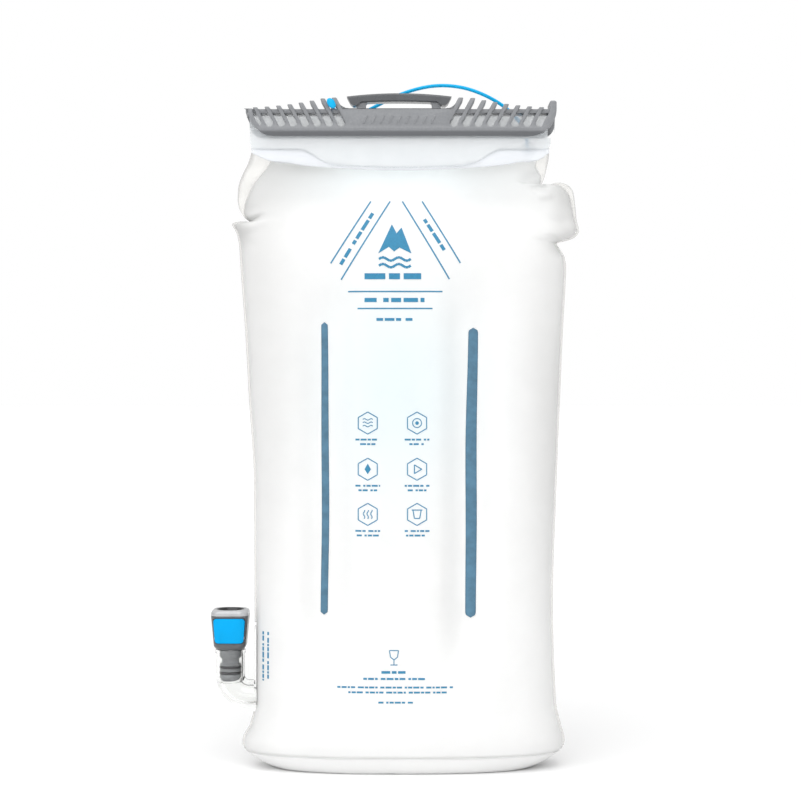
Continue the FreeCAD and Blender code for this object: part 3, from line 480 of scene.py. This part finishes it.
# ---- film bag -----------------------------------------------------------------------------------------
FILM_THICK = 0.3
SQUARENESS = 0.8  # power of the bag's rounded section
SEAM_Z = 10.5
TOP_Z = 366.3  # the frosted film's top edge in the middle; it rises towards the sides
SMILE = 6.0
SMILE_X = 84.0
WEB_X = (-45.6, 43.0)
WEB_LOW_Z, WEB_HIGH_Z = 96.0, 271.0
WEB_HALF_DEPTH = 21.3
# Half-widths without the dog-ears, and depth of each panel: height, left, right, depth.
BODY = [
    (10.5, 94.6, 97.8, 32.6),
    (13.2, 96.0, 99.4, 33.3),
    (16.5, 96.0, 99.8, 33.8),
    (25.0, 91.6, 97.6, 33.7),
    (40.0, 88.4, 94.4, 33.0),
    (100.0, 88.6, 92.6, 32.0),
    (175.0, 89.0, 95.0, 31.0),
    (225.0, 92.0, 97.0, 30.0),
    (268.0, 94.4, 98.8, 28.5),
    (310.0, 97.2, 100.2, 26.0),
    (334.0, 96.0, 98.0, 20.0),
    (352.0, 91.6, 91.6, 11.5),
    (361.0, 86.2, 87.0, 5.0),
    (366.3, 80.0, 84.0, 1.0),
]
LEFT_HALF, RIGHT_HALF, DEPTH = curves_of(BODY)
# The film's own side edges with their folded dog-ears: height in the flat film, then x, y and z in place.
LEFT_EDGE = [
    (10.5, -94.6, 0, 10.5),
    (13.2, -96.0, 0, 13.2),
    (16.5, -96.0, 0, 16.5),
    (25.0, -91.6, 0, 25.0),
    (40.0, -88.4, 0, 40.0),
    (100.0, -88.6, 0, 100.0),
    (175.0, -89.0, 0, 175.0),
    (225.0, -92.0, 0, 225.0),
    (268.0, -94.4, 0, 268.0),
    (311.0, -97.6, 0, 311.0),
    (320.0, -98.2, -1.0, 320.0),
    (325.6, -99.2, -2.2, 325.6),
    (329.0, -100.4, -3.4, 329.0),
    (332.2, -102.2, -4.5, 332.2),
    (333.4, -96.8, -4.0, 333.7),
    (334.6, -91.6, -2.5, 334.0),
    (336.4, -94.4, 0.0, 336.2),
    (339.7, -96.4, 1.2, 339.7),
    (344.0, -96.1, 1.4, 344.0),
    (352.0, -93.0, 0.8, 352.5),
    (358.8, -88.0, 0, 360.6),
    (363.5, -82.4, 0, 367.6),
    (366.3, -79.6, 0, 372.2),
]
RIGHT_EDGE = [
    (10.5, 97.8, 0, 10.5),
    (13.2, 99.4, 0, 13.2),
    (16.5, 99.8, 0, 16.5),
    (25.0, 97.6, 0, 25.0),
    (40.0, 94.4, 0, 40.0),
    (100.0, 92.6, 0, 100.0),
    (175.0, 95.0, 0, 175.0),
    (225.0, 97.0, 0, 225.0),
    (268.0, 98.8, 0, 268.0),
    (300.0, 100.6, 0, 300.0),
    (306.0, 100.8, 0, 306.0),
    (313.0, 99.8, 0, 313.0),
    (317.6, 97.2, -0.5, 317.8),
    (319.4, 96.0, -1.5, 319.2),
    (321.8, 95.4, -2.5, 321.4),
    (325.0, 103.0, -4.5, 324.0),
    (327.0, 106.4, -5.0, 325.8),
    (329.6, 108.2, -5.0, 328.6),
    (335.5, 106.4, -4.5, 335.5),
    (342.6, 105.2, -4.0, 342.6),
    (349.3, 103.2, -3.6, 350.8),
    (351.5, 100.8, -3.4, 354.0),
    (353.2, 96.4, -3.4, 356.8),
    (354.4, 90.5, -3.0, 356.2),
    (355.6, 86.0, -2.0, 355.2),
    (356.6, 86.2, 0, 357.2),
    (358.5, 86.6, 0.6, 361.6),
    (363.5, 83.2, 0, 369.2),
    (366.3, 84.0, 0, 372.6),
]
LEFT_EDGE_X, LEFT_EDGE_Y, LEFT_EDGE_Z = curves_of(LEFT_EDGE)
RIGHT_EDGE_X, RIGHT_EDGE_Y, RIGHT_EDGE_Z = curves_of(RIGHT_EDGE)
# Creases pressed into both panels: outer end x, z, inner end x, z, half-width, depth (below zero: a ridge).
CREASES = [
    (-93.0, 334.6, -80.0, 338.5, 1.6, 3.6),
    (-97.0, 329.0, -84.0, 330.5, 2.2, -1.4),
    (-93.0, 341.0, -84.0, 345.0, 3.0, 1.0),
    (-96.0, 322.0, -84.0, 316.0, 3.5, 1.2),
    (88.0, 355.4, 76.0, 354.6, 1.7, 2.2),
    (90.0, 350.0, 79.0, 348.5, 2.6, -1.6),
    (97.5, 321.6, 86.0, 325.0, 1.8, 3.4),
    (97.0, 316.0, 85.0, 312.0, 3.0, 1.2),
    (98.0, 333.0, 84.0, 338.0, 4.0, 1.4),
    (84.0, 363.0, 70.0, 359.0, 3.2, 1.1),
    (-84.0, 362.0, -68.0, 357.0, 3.6, 0.8),
]


def creased(x, z):
    """How deep all creases press the film in at each point."""
    total = np.zeros_like(x)
    for x0, z0, x1, z1, width, deep in CREASES:
        length = (x1 - x0) ** 2 + (z1 - z0) ** 2
        u = np.clip(((x - x0) * (x1 - x0) + (z - z0) * (z1 - z0)) / length, 0, 1)
        gap = np.hypot(x - x0 - u * (x1 - x0), z - z0 - u * (z1 - z0))
        total += deep * np.exp(-((gap / width) ** 2)) * (1 - smoothstep(0.15, 1, u))
    return total


def valley(x, z):
    """How strongly a web holds the film in: 1 on a web, 0 far from both."""
    past_end = np.maximum(np.maximum(WEB_LOW_Z - z, z - WEB_HIGH_Z), 0)
    across = [np.exp(-((np.abs(x - web) / 15.0) ** 3)) for web in WEB_X]
    return np.exp(-((past_end / 26.0) ** 2)) * np.maximum(*across)


def film_places(heights, angles, side):
    """Arrays of x, y, z for a panel: side -1 is the front. Angles run from -90 degrees, left, to 90."""
    t, angle = np.meshgrid(heights, angles, indexing="ij")
    left = angle < 0
    sign = np.where(left, -1.0, 1.0)
    half = np.where(left, LEFT_HALF(t), RIGHT_HALF(t))
    edge_x = np.where(left, LEFT_EDGE_X(t), RIGHT_EDGE_X(t))
    edge_y = np.where(left, LEFT_EDGE_Y(t), RIGHT_EDGE_Y(t))
    edge_z = np.where(left, LEFT_EDGE_Z(t), RIGHT_EDGE_Z(t))
    reach = np.abs(np.sin(angle)) ** SQUARENESS
    pull = smoothstep(0.74, 1.0, reach)
    x = sign * half * reach
    x = x + (edge_x - sign * half) * pull
    lifted = t + SMILE * (x / SMILE_X) ** 2 * smoothstep(328, TOP_Z, t)
    z = lifted * (1 - pull) + edge_z * pull
    full = DEPTH(t) * np.abs(np.cos(angle)) ** SQUARENESS
    share = valley(x, z)
    y = full * (1 - share) + np.minimum(full, WEB_HALF_DEPTH) * share
    inner = smoothstep(0, 6, full)
    crumple = 0.45 * ripple(x, z, 38, side * 3.1) + 0.18 * ripple(x, z, 14, side * 7.7)
    stack = smoothstep(0.62, 0.95, reach) * smoothstep(110, 170, t) * (1 - smoothstep(285, 315, t))
    crumple = crumple + 0.5 * stack * ripple(x * 0.25, z, 9, side * 5.3)
    y = np.maximum(y + inner * crumple - creased(x, z), 0.16 * np.abs(np.cos(angle)))
    return x, side * y + edge_y * pull, z


COLUMNS = 161
film_heights = np.concatenate(
    [np.arange(SEAM_Z, 300, 2.5), np.arange(300, 320, 1.2), np.arange(320, TOP_Z, 0.6), [TOP_Z]]
)
film_angles = np.linspace(-math.pi / 2, math.pi / 2, COLUMNS)


def film_painted_shade(x, z):
    """Painted shade on the film: greyer at its sides, its folded dog-ears, under its top edge and near its
    base, with a faint random tone.
    """
    inward = LEFT_HALF(z) + x
    fade = (inward - 6) / (20 + 22 * smoothstep(120, 235, z))
    broad = (0.10 + 0.11 * smoothstep(90, 250, z)) * (1 - smoothstep(0, 1, fade))
    left = broad + 0.03 * (1 - smoothstep(0, 6, inward))
    right = 0.06 * smoothstep(70, 98, x) + smoothstep(62, 97, x) * 0.20 * np.exp(-(((z - 205) / 95) ** 2))
    ears = 0.24 * smoothstep(88, 101, np.abs(x)) * smoothstep(312, 326, z)
    upper = 0.13 * smoothstep(15, 50, np.abs(x)) * smoothstep(333, 350, z)
    top_edge = TOP_Z + SMILE * (x / SMILE_X) ** 2
    under = np.exp(-(((top_edge - z - 1) / 5) ** 2)) * (0.05 + 0.10 * np.exp(-(((np.abs(x) - 62) / 24) ** 2)))
    under = under + 0.05 * np.exp(-(((top_edge - z - 8) / 11) ** 2)) * smoothstep(20, 60, np.abs(x))
    low = 0.05 * (1 - smoothstep(12, 34, z))
    return np.clip(left + right + ears + upper + under + low + 0.012 * ripple(x, z, 22, 1.7), 0, 0.9)


def film_haze(x, z):
    """Where the film has a bluish cast: between the webs, in the upper half, and near the neck."""
    middle = np.exp(-(((x + 2) / 40) ** 2)) * np.exp(-(((z - 232) / 58) ** 2))
    neck = np.exp(-((x / 70) ** 2)) * smoothstep(325, 366, z)
    return np.clip(0.55 * middle + 0.35 * neck, 0, 1)


def film_panel(name, side, node):
    x, y, z = film_places(film_heights, film_angles, side)
    verts = np.stack([x, y, z], -1).reshape(-1, 3)
    faces = grid_faces(len(film_heights), COLUMNS)
    faces = faces if side < 0 else [tuple(reversed(f)) for f in faces]
    panel = new_piece(name, verts.tolist(), faces, FILM, "reservoir", [node])
    # Painted shade over the panel, and its bluish haze.
    set_layer(panel, "shade", film_painted_shade(x, z))
    set_layer(panel, "haze", film_haze(x, z))
    thicken(panel, FILM_THICK)
    return panel


film_panel("front_film", -1, "front_panel")
film_panel("back_film", 1, "back_panel")


def front_depth(x, z, side=-1):
    """The film's y at one place well inside its side edges."""
    half = RIGHT_HALF(z) if x > 0 else LEFT_HALF(z)
    angle = math.asin(min(1.0, abs(x) / half) ** (1 / SQUARENESS)) * (1 if x > 0 else -1)
    height = z
    for _ in range(3):
        height = z - SMILE * (x / SMILE_X) ** 2 * float(smoothstep(328, TOP_Z, height))
    return float(film_places(np.array([height]), np.array([angle]), side)[1][0, 0])


# ---- base: the gusset film folded under the bag, and the welded bead around it ------------------------
# Share of the bag's width, share of its depth, height.
GUSSET = [
    (1.0, 1.0, 10.5), (0.985, 0.985, 9.0), (0.955, 0.96, 7.0), (0.918, 0.925, 4.8), (0.88, 0.89, 3.0),
    (0.845, 0.85, 1.5), (0.818, 0.82, 0.5), (0.795, 0.79, 0.12), (0.72, 0.71, 0.15), (0.5, 0.5, 0.7),
    (0.25, 0.25, 1.3), (0.02, 0.02, 1.5),
]
ring_angles = film_angles[:-1]


def base_ring():
    """The bag's outline where its panels meet the gusset, as x, y pairs all the way round."""
    rings = []
    for side in (-1, 1):
        x, y, _ = film_places(np.array([SEAM_Z]), ring_angles if side < 0 else film_angles[:0:-1], side)
        rings += list(zip(x[0], y[0]))
    return rings


def base_film():
    verts = []
    for wide, deep, z in GUSSET:
        for x, y in base_ring():
            rise = 0.5 * noise.noise(Vector((x / 17, y / 17, z / 8))) * (1 - wide) * 2
            verts.append((x * wide, y * deep, max(0.05, z + rise)))
    count = len(verts) // len(GUSSET)
    faces = [tuple(reversed(f)) for f in grid_faces(len(GUSSET), count, True)]
    faces.append(tuple(range(len(verts) - count, len(verts))))
    piece = new_piece("base_film", verts, faces, FILM, "reservoir", ["base_gusset"])
    places = np.array(verts)
    # Painted shade: the gusset greys towards its ends.
    set_layer(piece, "shade", 0.05 * smoothstep(60, 98, np.abs(places[:, 0])))
    set_layer(piece, "haze", np.zeros(len(verts)))
    thicken(piece, FILM_THICK)


base_film()
BEAD_RADIUS = 0.26
bead_path = [(x * 1.001, y * 1.003, SEAM_Z) for x, y in base_ring()]
verts, faces = tube(bead_path, BEAD_RADIUS, 8, True)
bead = new_piece("base_bead", verts, faces, FILM, "reservoir", ["base_seam"])
# Painted shade: the bead is greyed all along, so it shows as a faint line.
set_layer(bead, "shade", np.full(len(verts), 0.22))
set_layer(bead, "haze", np.zeros(len(verts)))

# ---- clear seams: the welded margin outside the frosted film, wide where it stands free at the top ----
# Height in the flat film, then x, y and z of the margin's outer edge.
LEFT_MARGIN = [
    (10.5, -95.8, 0, 10.2), (13.2, -97.3, 0, 13.1), (16.5, -97.3, 0, 16.5),
    (25.0, -92.9, 0, 25.0), (40.0, -89.7, 0, 40.0), (100.0, -89.9, 0, 100.0),
    (175.0, -90.3, 0, 175.0), (225.0, -93.3, 0, 225.0), (268.0, -95.7, 0, 268.0),
    (311.0, -98.8, 0, 311.0), (320.0, -99.3, -1, 320.0), (325.6, -100.3, -2.2, 325.8),
    (329.0, -101.6, -3.6, 329.4), (332.2, -103.4, -5.0, 332.9), (333.4, -97.0, -4.4, 334.4),
    (334.6, -91.7, -2.4, 334.3), (336.4, -96.4, 0.6, 337.8), (339.7, -99.4, 2.0, 343.2),
    (344.0, -100.5, 2.6, 350.0), (349.0, -100.1, 2.4, 356.2), (355.0, -97.4, 1.6, 363.6),
    (360.5, -94.2, 0.8, 370.2), (363.8, -92.6, 0.3, 374.4), (366.3, -91.9, 0, 377.4),
]
RIGHT_MARGIN = [
    (10.5, 99.0, 0, 10.2), (13.2, 100.7, 0, 13.1), (16.5, 101.1, 0, 16.5),
    (25.0, 98.9, 0, 25.0), (40.0, 95.7, 0, 40.0), (100.0, 93.9, 0, 100.0),
    (175.0, 96.2, 0, 175.0), (225.0, 98.2, 0, 225.0), (268.0, 100.0, 0, 268.0),
    (300.0, 101.8, 0, 300.0), (306.0, 102.0, 0, 306.0), (313.0, 101.0, 0, 313.0),
    (317.6, 98.2, -0.5, 317.6), (319.4, 96.8, -1.5, 319.4), (321.8, 96.0, -2.5, 321.0),
    (325.0, 103.6, -4.6, 323.0), (327.0, 107.4, -5.2, 325.0), (329.6, 109.4, -5.2, 328.4),
    (335.5, 107.9, -5.0, 335.5), (342.6, 107.2, -4.8, 343.0), (349.3, 105.9, -4.4, 352.4),
    (351.5, 102.9, -4.0, 356.6), (353.2, 97.2, -3.6, 358.4), (354.4, 90.4, -3.0, 357.0),
    (355.6, 86.2, -2.0, 355.8), (356.6, 87.2, 0.4, 358.2), (358.5, 88.9, 1.2, 363.0),
    (361.5, 90.4, 1.0, 369.0), (364.0, 91.3, 0.5, 373.6), (366.3, 91.6, 0, 377.4),
]
PORT_LOW, PORT_HIGH = 34.0, 88.0  # heights between which the port's flange takes the seam's place
SEAM_THICK = 0.6
SEAM_OVERLAP = 0.25  # how far the margin reaches in over the film


def seam_ribbon(name, edge, margin, low, high, nodes):
    """The welded margin between the film's edge and its outer edge, over a range of film heights."""
    heights = film_heights[(film_heights >= low) & (film_heights <= high)]
    inner = np.stack([curve(heights) for curve in edge], -1)
    outer = np.stack([curve(heights) for curve in margin], -1)
    wide = np.maximum(np.linalg.norm(inner - outer, axis=1), 0.3)[:, None]
    inner = inner + (inner - outer) * SEAM_OVERLAP / wide
    shares = np.array([0, 0.25, 0.5, 0.75, 0.88, 1.0])
    rows = inner[:, None, :] * (1 - shares)[None, :, None] + outer[:, None, :] * shares[None, :, None]
    loose = np.maximum(np.linalg.norm(outer - inner, axis=1)[:, None] - 3, 0) / 6
    wave = np.sin(heights * 0.42)[:, None] * np.sin(math.pi * shares)[None, :] * loose
    rows[..., 1] += wave
    faces = grid_faces(len(heights), len(shares))
    piece = new_piece(name, rows.reshape(-1, 3).tolist(), faces, CLEAR_SEAM, "reservoir", nodes)
    # Painted shade: the margin darkens towards its outer edge.
    set_layer(piece, "painted_edge_shade", np.tile(smoothstep(0.72, 1.0, shares), len(heights)))
    thicken(piece, SEAM_THICK, 0.0)


left_edge, left_margin = curves_of(LEFT_EDGE), curves_of(LEFT_MARGIN)
seam_ribbon("left_margin_upper", left_edge, left_margin, PORT_HIGH, TOP_Z, ["left_seam_upper"])
seam_ribbon("left_margin_lower", left_edge, left_margin, SEAM_Z, PORT_LOW, ["left_seam_lower"])
seam_ribbon("right_margin", curves_of(RIGHT_EDGE), curves_of(RIGHT_MARGIN), SEAM_Z, TOP_Z, ["right_seam"])

# ---- neck: clear film between the frosted film and the rails ------------------------------------------
NECK_SIDE = [
    (-91.9, 377.4), (-79.6, 372.2), (-60.0, 369.4), (-30.0, 367.1), (0.0, 366.3),
    (30.0, 367.1), (60.0, 369.4), (84.0, 372.6), (91.6, 377.4),
]
neck_low = monotone(*zip(*NECK_SIDE))
# Lower edge of the rails' welded flanges, which the neck film runs up to.
RAIL_FOOT = [(-93, 380.0), (-62, 380.0), (-55, 377.2), (-46, 371.8), (-30, 369.7), (0, 369.0)]
RAIL_FOOT += [(-x, z) for x, z in reversed(RAIL_FOOT[:-1])]
rail_foot = monotone(*zip(*RAIL_FOOT))


NECK_THICK = 0.25


def neck_sheet(name, side):
    columns = np.linspace(NECK_SIDE[0][0], NECK_SIDE[-1][0], 121)
    shares = np.linspace(0, 1, 13)
    u, x = np.meshgrid(shares, columns, indexing="ij")
    bottom = neck_low(x) - 0.4
    z = bottom + (rail_foot(x) - bottom) * u
    wave = 0.18 * ripple(x, z, 16, side * 2.3) * np.sin(math.pi * u)
    y = side * (0.95 - 0.32 * u + wave)
    verts = np.stack([x, y, z], -1).reshape(-1, 3)
    faces = grid_faces(len(shares), len(columns))
    faces = faces if side < 0 else [tuple(reversed(f)) for f in faces]
    piece = new_piece(name, verts.tolist(), faces, CLEAR_FILM, "reservoir", ())
    # Painted shade: the neck film darkens where it runs up under the rails.
    set_layer(piece, "painted_edge_shade", 0.5 * smoothstep(0.75, 1.0, u))
    thicken(piece, NECK_THICK)


neck_sheet("neck_front", -1)
neck_sheet("neck_back", 1)


# ---- inner webs and the weld strips that show them on the panels --------------------------------------
def web_sheet(name, x, node):
    heights = np.linspace(WEB_LOW_Z + 3, WEB_HIGH_Z - 3, 60)
    shares = np.linspace(-1, 1, 25)
    verts = []
    for z in heights:
        front, back = front_depth(x, z) + 0.35, front_depth(x, z, 1) - 0.35
        for s in shares:
            y = front + (back - front) * (s + 1) / 2
            sag = 0.7 * noise.noise(Vector((y / 14, z / 22, x))) * (1 - s * s)
            verts.append((x + sag, y, z))
    piece = new_piece(name, verts, grid_faces(len(heights), len(shares)), FILM, "reservoir", [node])
    # Painted shade: the inner webs are greyed all over.
    set_layer(piece, "shade", np.full(len(verts), 0.1))
    set_layer(piece, "haze", np.full(len(verts), 0.2))
    thicken(piece, FILM_THICK, 0.0)


web_sheet("web_left", WEB_X[0], "baffle_web_left")
web_sheet("web_right", WEB_X[1], "baffle_web_right")


STRIP_THICK = 0.4


def weld_strip(name, side, low, high, middle, width, node):
    """A slightly wavy welded strip, thickest along its middle. Its middle and width are curves."""
    heights = np.linspace(low, high, 120)
    shares = np.linspace(-1, 1, 9)
    verts = []
    for z in heights:
        half = float(width(z)) / 2
        from_end = min(z - low, high - z)
        if from_end < half:
            half = max(0.12, math.sqrt(max(0.0, half**2 - (half - from_end) ** 2)))
        for s in shares:
            x = float(middle(z)) + 0.16 * math.sin(z / 17 + side) + s * half
            lift = 0.12 + 0.42 * (1 - s * s) ** 0.5
            verts.append((x, front_depth(x, z, side) + side * lift, z))
    faces = grid_faces(len(heights), len(shares))
    faces = faces if side < 0 else [tuple(reversed(f)) for f in faces]
    piece = new_piece(name, verts, faces, WELD, "reservoir", [node])
    thicken(piece, STRIP_THICK)


LEFT_STRIP = (monotone([95, 180, 272], [-45.9, -45.3, -46.0]), monotone([95, 180, 272], [4.4, 4.5, 4.0]))
RIGHT_STRIP = (monotone([93, 180, 270], [42.4, 42.6, 43.8]), monotone([93, 180, 270], [6.4, 6.8, 5.8]))
for side, word in ((-1, "front"), (1, "back")):
    weld_strip("strip_%s_left" % word, side, 95.5, 271.8, *LEFT_STRIP, "weld_strip_%s_left" % word)
    weld_strip("strip_%s_right" % word, side, 93.6, 268.5, *RIGHT_STRIP, "weld_strip_%s_right" % word)


# ---- printed marks: plain generic signs in teal ink, laid on the front film ---------------------------
INK_LIFT = 0.14


class Print:
    """Flat marks in x, z that are laid onto the front film as one thin skin."""

    def __init__(self):
        self.verts, self.faces = [], []

    def quad(self, corners):
        first = len(self.verts)
        self.verts += [(x, front_depth(x, z) - INK_LIFT, z) for x, z in corners]
        self.faces.append(tuple(range(first, first + len(corners))))

    def stroke(self, points, width):
        """A line of the given width through points."""
        for (x0, z0), (x1, z1) in zip(points, points[1:]):
            length = math.hypot(x1 - x0, z1 - z0)
            nx, nz = -(z1 - z0) / length * width / 2, (x1 - x0) / length * width / 2
            count = max(1, round(length / 2.5))
            for i in range(count):
                a, b = i / count, (i + 1) / count
                ax, az = x0 + (x1 - x0) * a, z0 + (z1 - z0) * a
                bx, bz = x0 + (x1 - x0) * b, z0 + (z1 - z0) * b
                self.quad([(ax - nx, az - nz), (bx - nx, bz - nz), (bx + nx, bz + nz), (ax + nx, az + nz)])

    def filled(self, outline, step=0.5):
        """A closed outline filled with narrow bands."""
        corners = sorted({z for _, z in outline})
        levels = []
        for low, high in zip(corners, corners[1:]):
            count = max(1, math.ceil((high - low) / step))
            levels += [low + (high - low) * i / count for i in range(count)]
        levels.append(corners[-1])

        def crossings(level):
            found = []
            for (x0, z0), (x1, z1) in zip(outline, outline[1:] + outline[:1]):
                if (z0 > level) != (z1 > level):
                    found.append(x0 + (x1 - x0) * (level - z0) / (z1 - z0))
            return sorted(found)

        for below, above in zip(levels, levels[1:]):
            first, second = crossings(below + 1e-6), crossings(above - 1e-6)
            for k in range(0, len(first) - 1, 2):
                parts = max(1, math.ceil((first[k + 1] - first[k]) / 2.5))
                for i in range(parts):
                    a, b = i / parts, (i + 1) / parts
                    lower = [first[k] + (first[k + 1] - first[k]) * s for s in (a, b)]
                    upper = [second[k] + (second[k + 1] - second[k]) * s for s in (b, a)]
                    self.quad([(lower[0], below), (lower[1], below), (upper[0], above), (upper[1], above)])

    def dashes(self, x0, x1, z, height, seed, turn=None):
        """A row of short bars of uneven length between two places, in place of small print."""
        place, length = 0.0, math.hypot(x1[0] - x0[0], x1[1] - x0[1]) if turn else x1 - x0
        k = seed
        while place < length - 0.6:
            size = min(height * (0.9 + 0.75 * ((k * 7) % 5) / 2), length - place)
            a, b = place, place + size
            if turn:
                ux, uz = (x1[0] - x0[0]) / length, (x1[1] - x0[1]) / length
                bar = [(x0[0] + ux * a, x0[1] + uz * a), (x0[0] + ux * b, x0[1] + uz * b)]
            else:
                bar = [(x0 + a, z), (x0 + b, z)]
            self.stroke(bar, height * 0.7)
            place += size + height * (0.42 if k % 4 else 1.1)
            k += 1


def ring_of(x, z, radius, count, turn=0.0):
    angles = [2 * math.pi * i / count + turn for i in range(count + 1)]
    return [(x + radius * math.sin(a), z + radius * math.cos(a)) for a in angles]


marks = Print()
SLOPING_LINES = [
    ((-18.0, 345.5), (-42.0, 307.1)), ((-6.3, 345.5), (-35.7, 297.2)),
    ((1.1, 345.5), (29.4, 297.5)), ((13.1, 345.5), (36.0, 307.3)),
]
for line in SLOPING_LINES:
    marks.stroke(line, 0.85)
marks.dashes((-36.0, 306.4), (-16.0, 339.2), None, 3.0, 3, True)
marks.dashes((14.4, 334.1), (28.4, 311.8), None, 3.0, 5, True)
# Emblem: two peaks over two waves.
PEAKS = [
    (-13.4, 313.0), (-5.2, 331.0), (-2.4, 325.4), (0.6, 329.0),
    (6.6, 313.0), (-0.6, 316.6), (-3.8, 314.2), (-7.0, 317.0),
]
marks.filled(PEAKS)
for drop in (0.0, 4.0):
    wave = [(-13.0 + i * 1.6, 309.6 - drop + 1.1 * math.sin(i * 1.05)) for i in range(13)]
    marks.stroke(wave, 1.5)
marks.dashes(-21.6, 15.6, 299.2, 5.2, 2)
marks.stroke([(-31.5, 290.0), (25.2, 290.0)], 0.8)
marks.stroke([(-25.8, 279.8), (19.2, 279.8)], 0.8)
marks.dashes(-21.6, 14.4, 284.9, 3.6, 4)
marks.dashes(-14.4, 7.2, 273.2, 2.4, 6)
HEX_X, HEX_Z, HEX_RADIUS = (-19.6, 9.9), (211.1, 183.5, 156.5), 6.6
for row, z in enumerate(HEX_Z):
    for column, x in enumerate(HEX_X):
        marks.stroke(ring_of(x, z, HEX_RADIUS, 6), 0.6)
        marks.dashes(x - 7.4, x + 7.4, z - 9.9, 1.5, row * 3 + column + 1)
        marks.dashes(x - 4.6 - row, x + 4.6 + row, z - 12.6, 1.5, row + column + 2)
        kind = row * 2 + column
        if kind == 0:
            for lift in (-1.8, 0.2, 2.2):
                marks.stroke([(x - 3 + i, z + lift + 0.55 * math.sin(i * 1.57)) for i in range(7)], 0.5)
        elif kind == 1:
            marks.stroke(ring_of(x, z, 2.7, 20), 0.55)
            marks.filled(ring_of(x, z, 1.1, 12)[:-1], 0.4)
        elif kind == 2:
            marks.filled([(x, z + 3.4), (x + 1.9, z), (x, z - 3.0), (x - 1.9, z)], 0.4)
        elif kind == 3:
            marks.stroke([(x - 1.6, z + 2.6), (x + 2.8, z), (x - 1.6, z - 2.6), (x - 1.6, z + 2.6)], 0.6)
        elif kind == 4:
            for shift in (-2.2, 0, 2.2):
                curl = [(x + shift + 0.5 * math.sin(i * 1.2), z - 2.6 + i * 0.75) for i in range(8)]
                marks.stroke(curl, 0.6)
        else:
            bucket = [(x - 2.4, z + 2.4), (x - 1.6, z - 2.4), (x + 1.6, z - 2.4), (x + 2.4, z + 2.4)]
            marks.stroke(bucket, 0.6)
            marks.stroke([(x - 3.2, z + 2.6), (x + 3.2, z + 2.6)], 0.6)
# A cup outline and rows of small print near the base.
marks.stroke([(-6.6, 75.3), (-6.0, 71.4), (-3.9, 69.7), (-1.8, 71.4), (-1.2, 75.3), (-6.6, 75.3)], 0.55)
marks.stroke([(-3.9, 69.7), (-3.9, 66.9)], 0.55)
marks.stroke([(-6.0, 66.7), (-1.8, 66.7)], 0.55)
SMALL_ROWS = [
    (-11.4, 3.6, 62.3, 2.2), (-22.2, 15.6, 58.4, 1.7), (-37.8, 32.4, 53.3, 1.5),
    (-31.2, 27.6, 50.3, 1.5), (-13.2, 8.4, 44.3, 1.5),
]
for x0, x1, z, height in SMALL_ROWS:
    marks.dashes(x0, x1, z, height, int(z))
for x, seed in ((-83.4, 3), (-80.2, 8)):
    marks.dashes((x, 84.4), (x, 54.6), None, 1.5, seed, True)
new_piece("front_print", marks.verts, marks.faces, INK, "reservoir")


# ---- floor and light ----------------------------------------------------------------------------------
def stage():
    floor_look = Look("pale_floor", 0.6)
    floor_look.mottled((0.97, 0.97, 0.97), 0.01, 400)
    mesh = bpy.data.meshes.new("floor")
    reach = 60.0
    corners = [(-reach, -reach, 0), (reach, -reach, 0), (reach, reach, 0), (-reach, reach, 0)]
    mesh.from_pydata(corners, [], [(0, 1, 2, 3)])
    floor = placed("floor", mesh, floor_look.material, None)


stage()


def sky():
    """White all round: dimmer at the sides, so that the bag's rounded sides fall off to grey."""
    world = bpy.data.worlds.new("studio")
    bpy.context.scene.world = world
    world.use_nodes = True
    nodes, links = world.node_tree.nodes, world.node_tree.links
    light = nodes["Background"]
    seen = nodes.new("ShaderNodeBackground")
    seen.inputs["Color"].default_value = (1, 1, 1, 1)
    seen.inputs["Strength"].default_value = 1.0
    place = nodes.new("ShaderNodeTexCoord")
    split = nodes.new("ShaderNodeSeparateXYZ")
    links.new(place.outputs["Generated"], split.inputs["Vector"])
    across = nodes.new("ShaderNodeMath")
    across.operation = "ABSOLUTE"
    links.new(split.outputs["X"], across.inputs[0])
    fall = nodes.new("ShaderNodeMapRange")
    for socket, value in (("From Min", 0.25), ("From Max", 0.95), ("To Min", 0.74), ("To Max", 0.50)):
        fall.inputs[socket].default_value = value
    links.new(across.outputs["Value"], fall.inputs["Value"])
    links.new(fall.outputs["Result"], light.inputs["Strength"])
    light.inputs["Color"].default_value = (1, 1, 1, 1)
    path = nodes.new("ShaderNodeLightPath")
    clear = nodes.new("ShaderNodeMath")
    clear.operation = "MAXIMUM"
    links.new(path.outputs["Is Camera Ray"], clear.inputs[0])
    links.new(path.outputs["Is Transmission Ray"], clear.inputs[1])
    mix = nodes.new("ShaderNodeMixShader")
    links.new(clear.outputs["Value"], mix.inputs["Fac"])
    links.new(light.outputs["Background"], mix.inputs[1])
    links.new(seen.outputs["Background"], mix.inputs[2])
    links.new(mix.outputs["Shader"], nodes["World Output"].inputs["Surface"])


def sun(name, strength, softness, tilt, turn):
    data = bpy.data.lights.new(name, "SUN")
    data.energy = strength
    data.angle = math.radians(softness)
    lamp = bpy.data.objects.new(name, data)
    lamp.rotation_euler = (math.radians(tilt), 0, math.radians(turn))
    bpy.context.scene.collection.objects.link(lamp)


sky()
sun("key", 1.98, 80, 36, -18)
bpy.context.scene.view_settings.view_transform = "Standard"
bpy.context.scene.view_settings.look = "None"
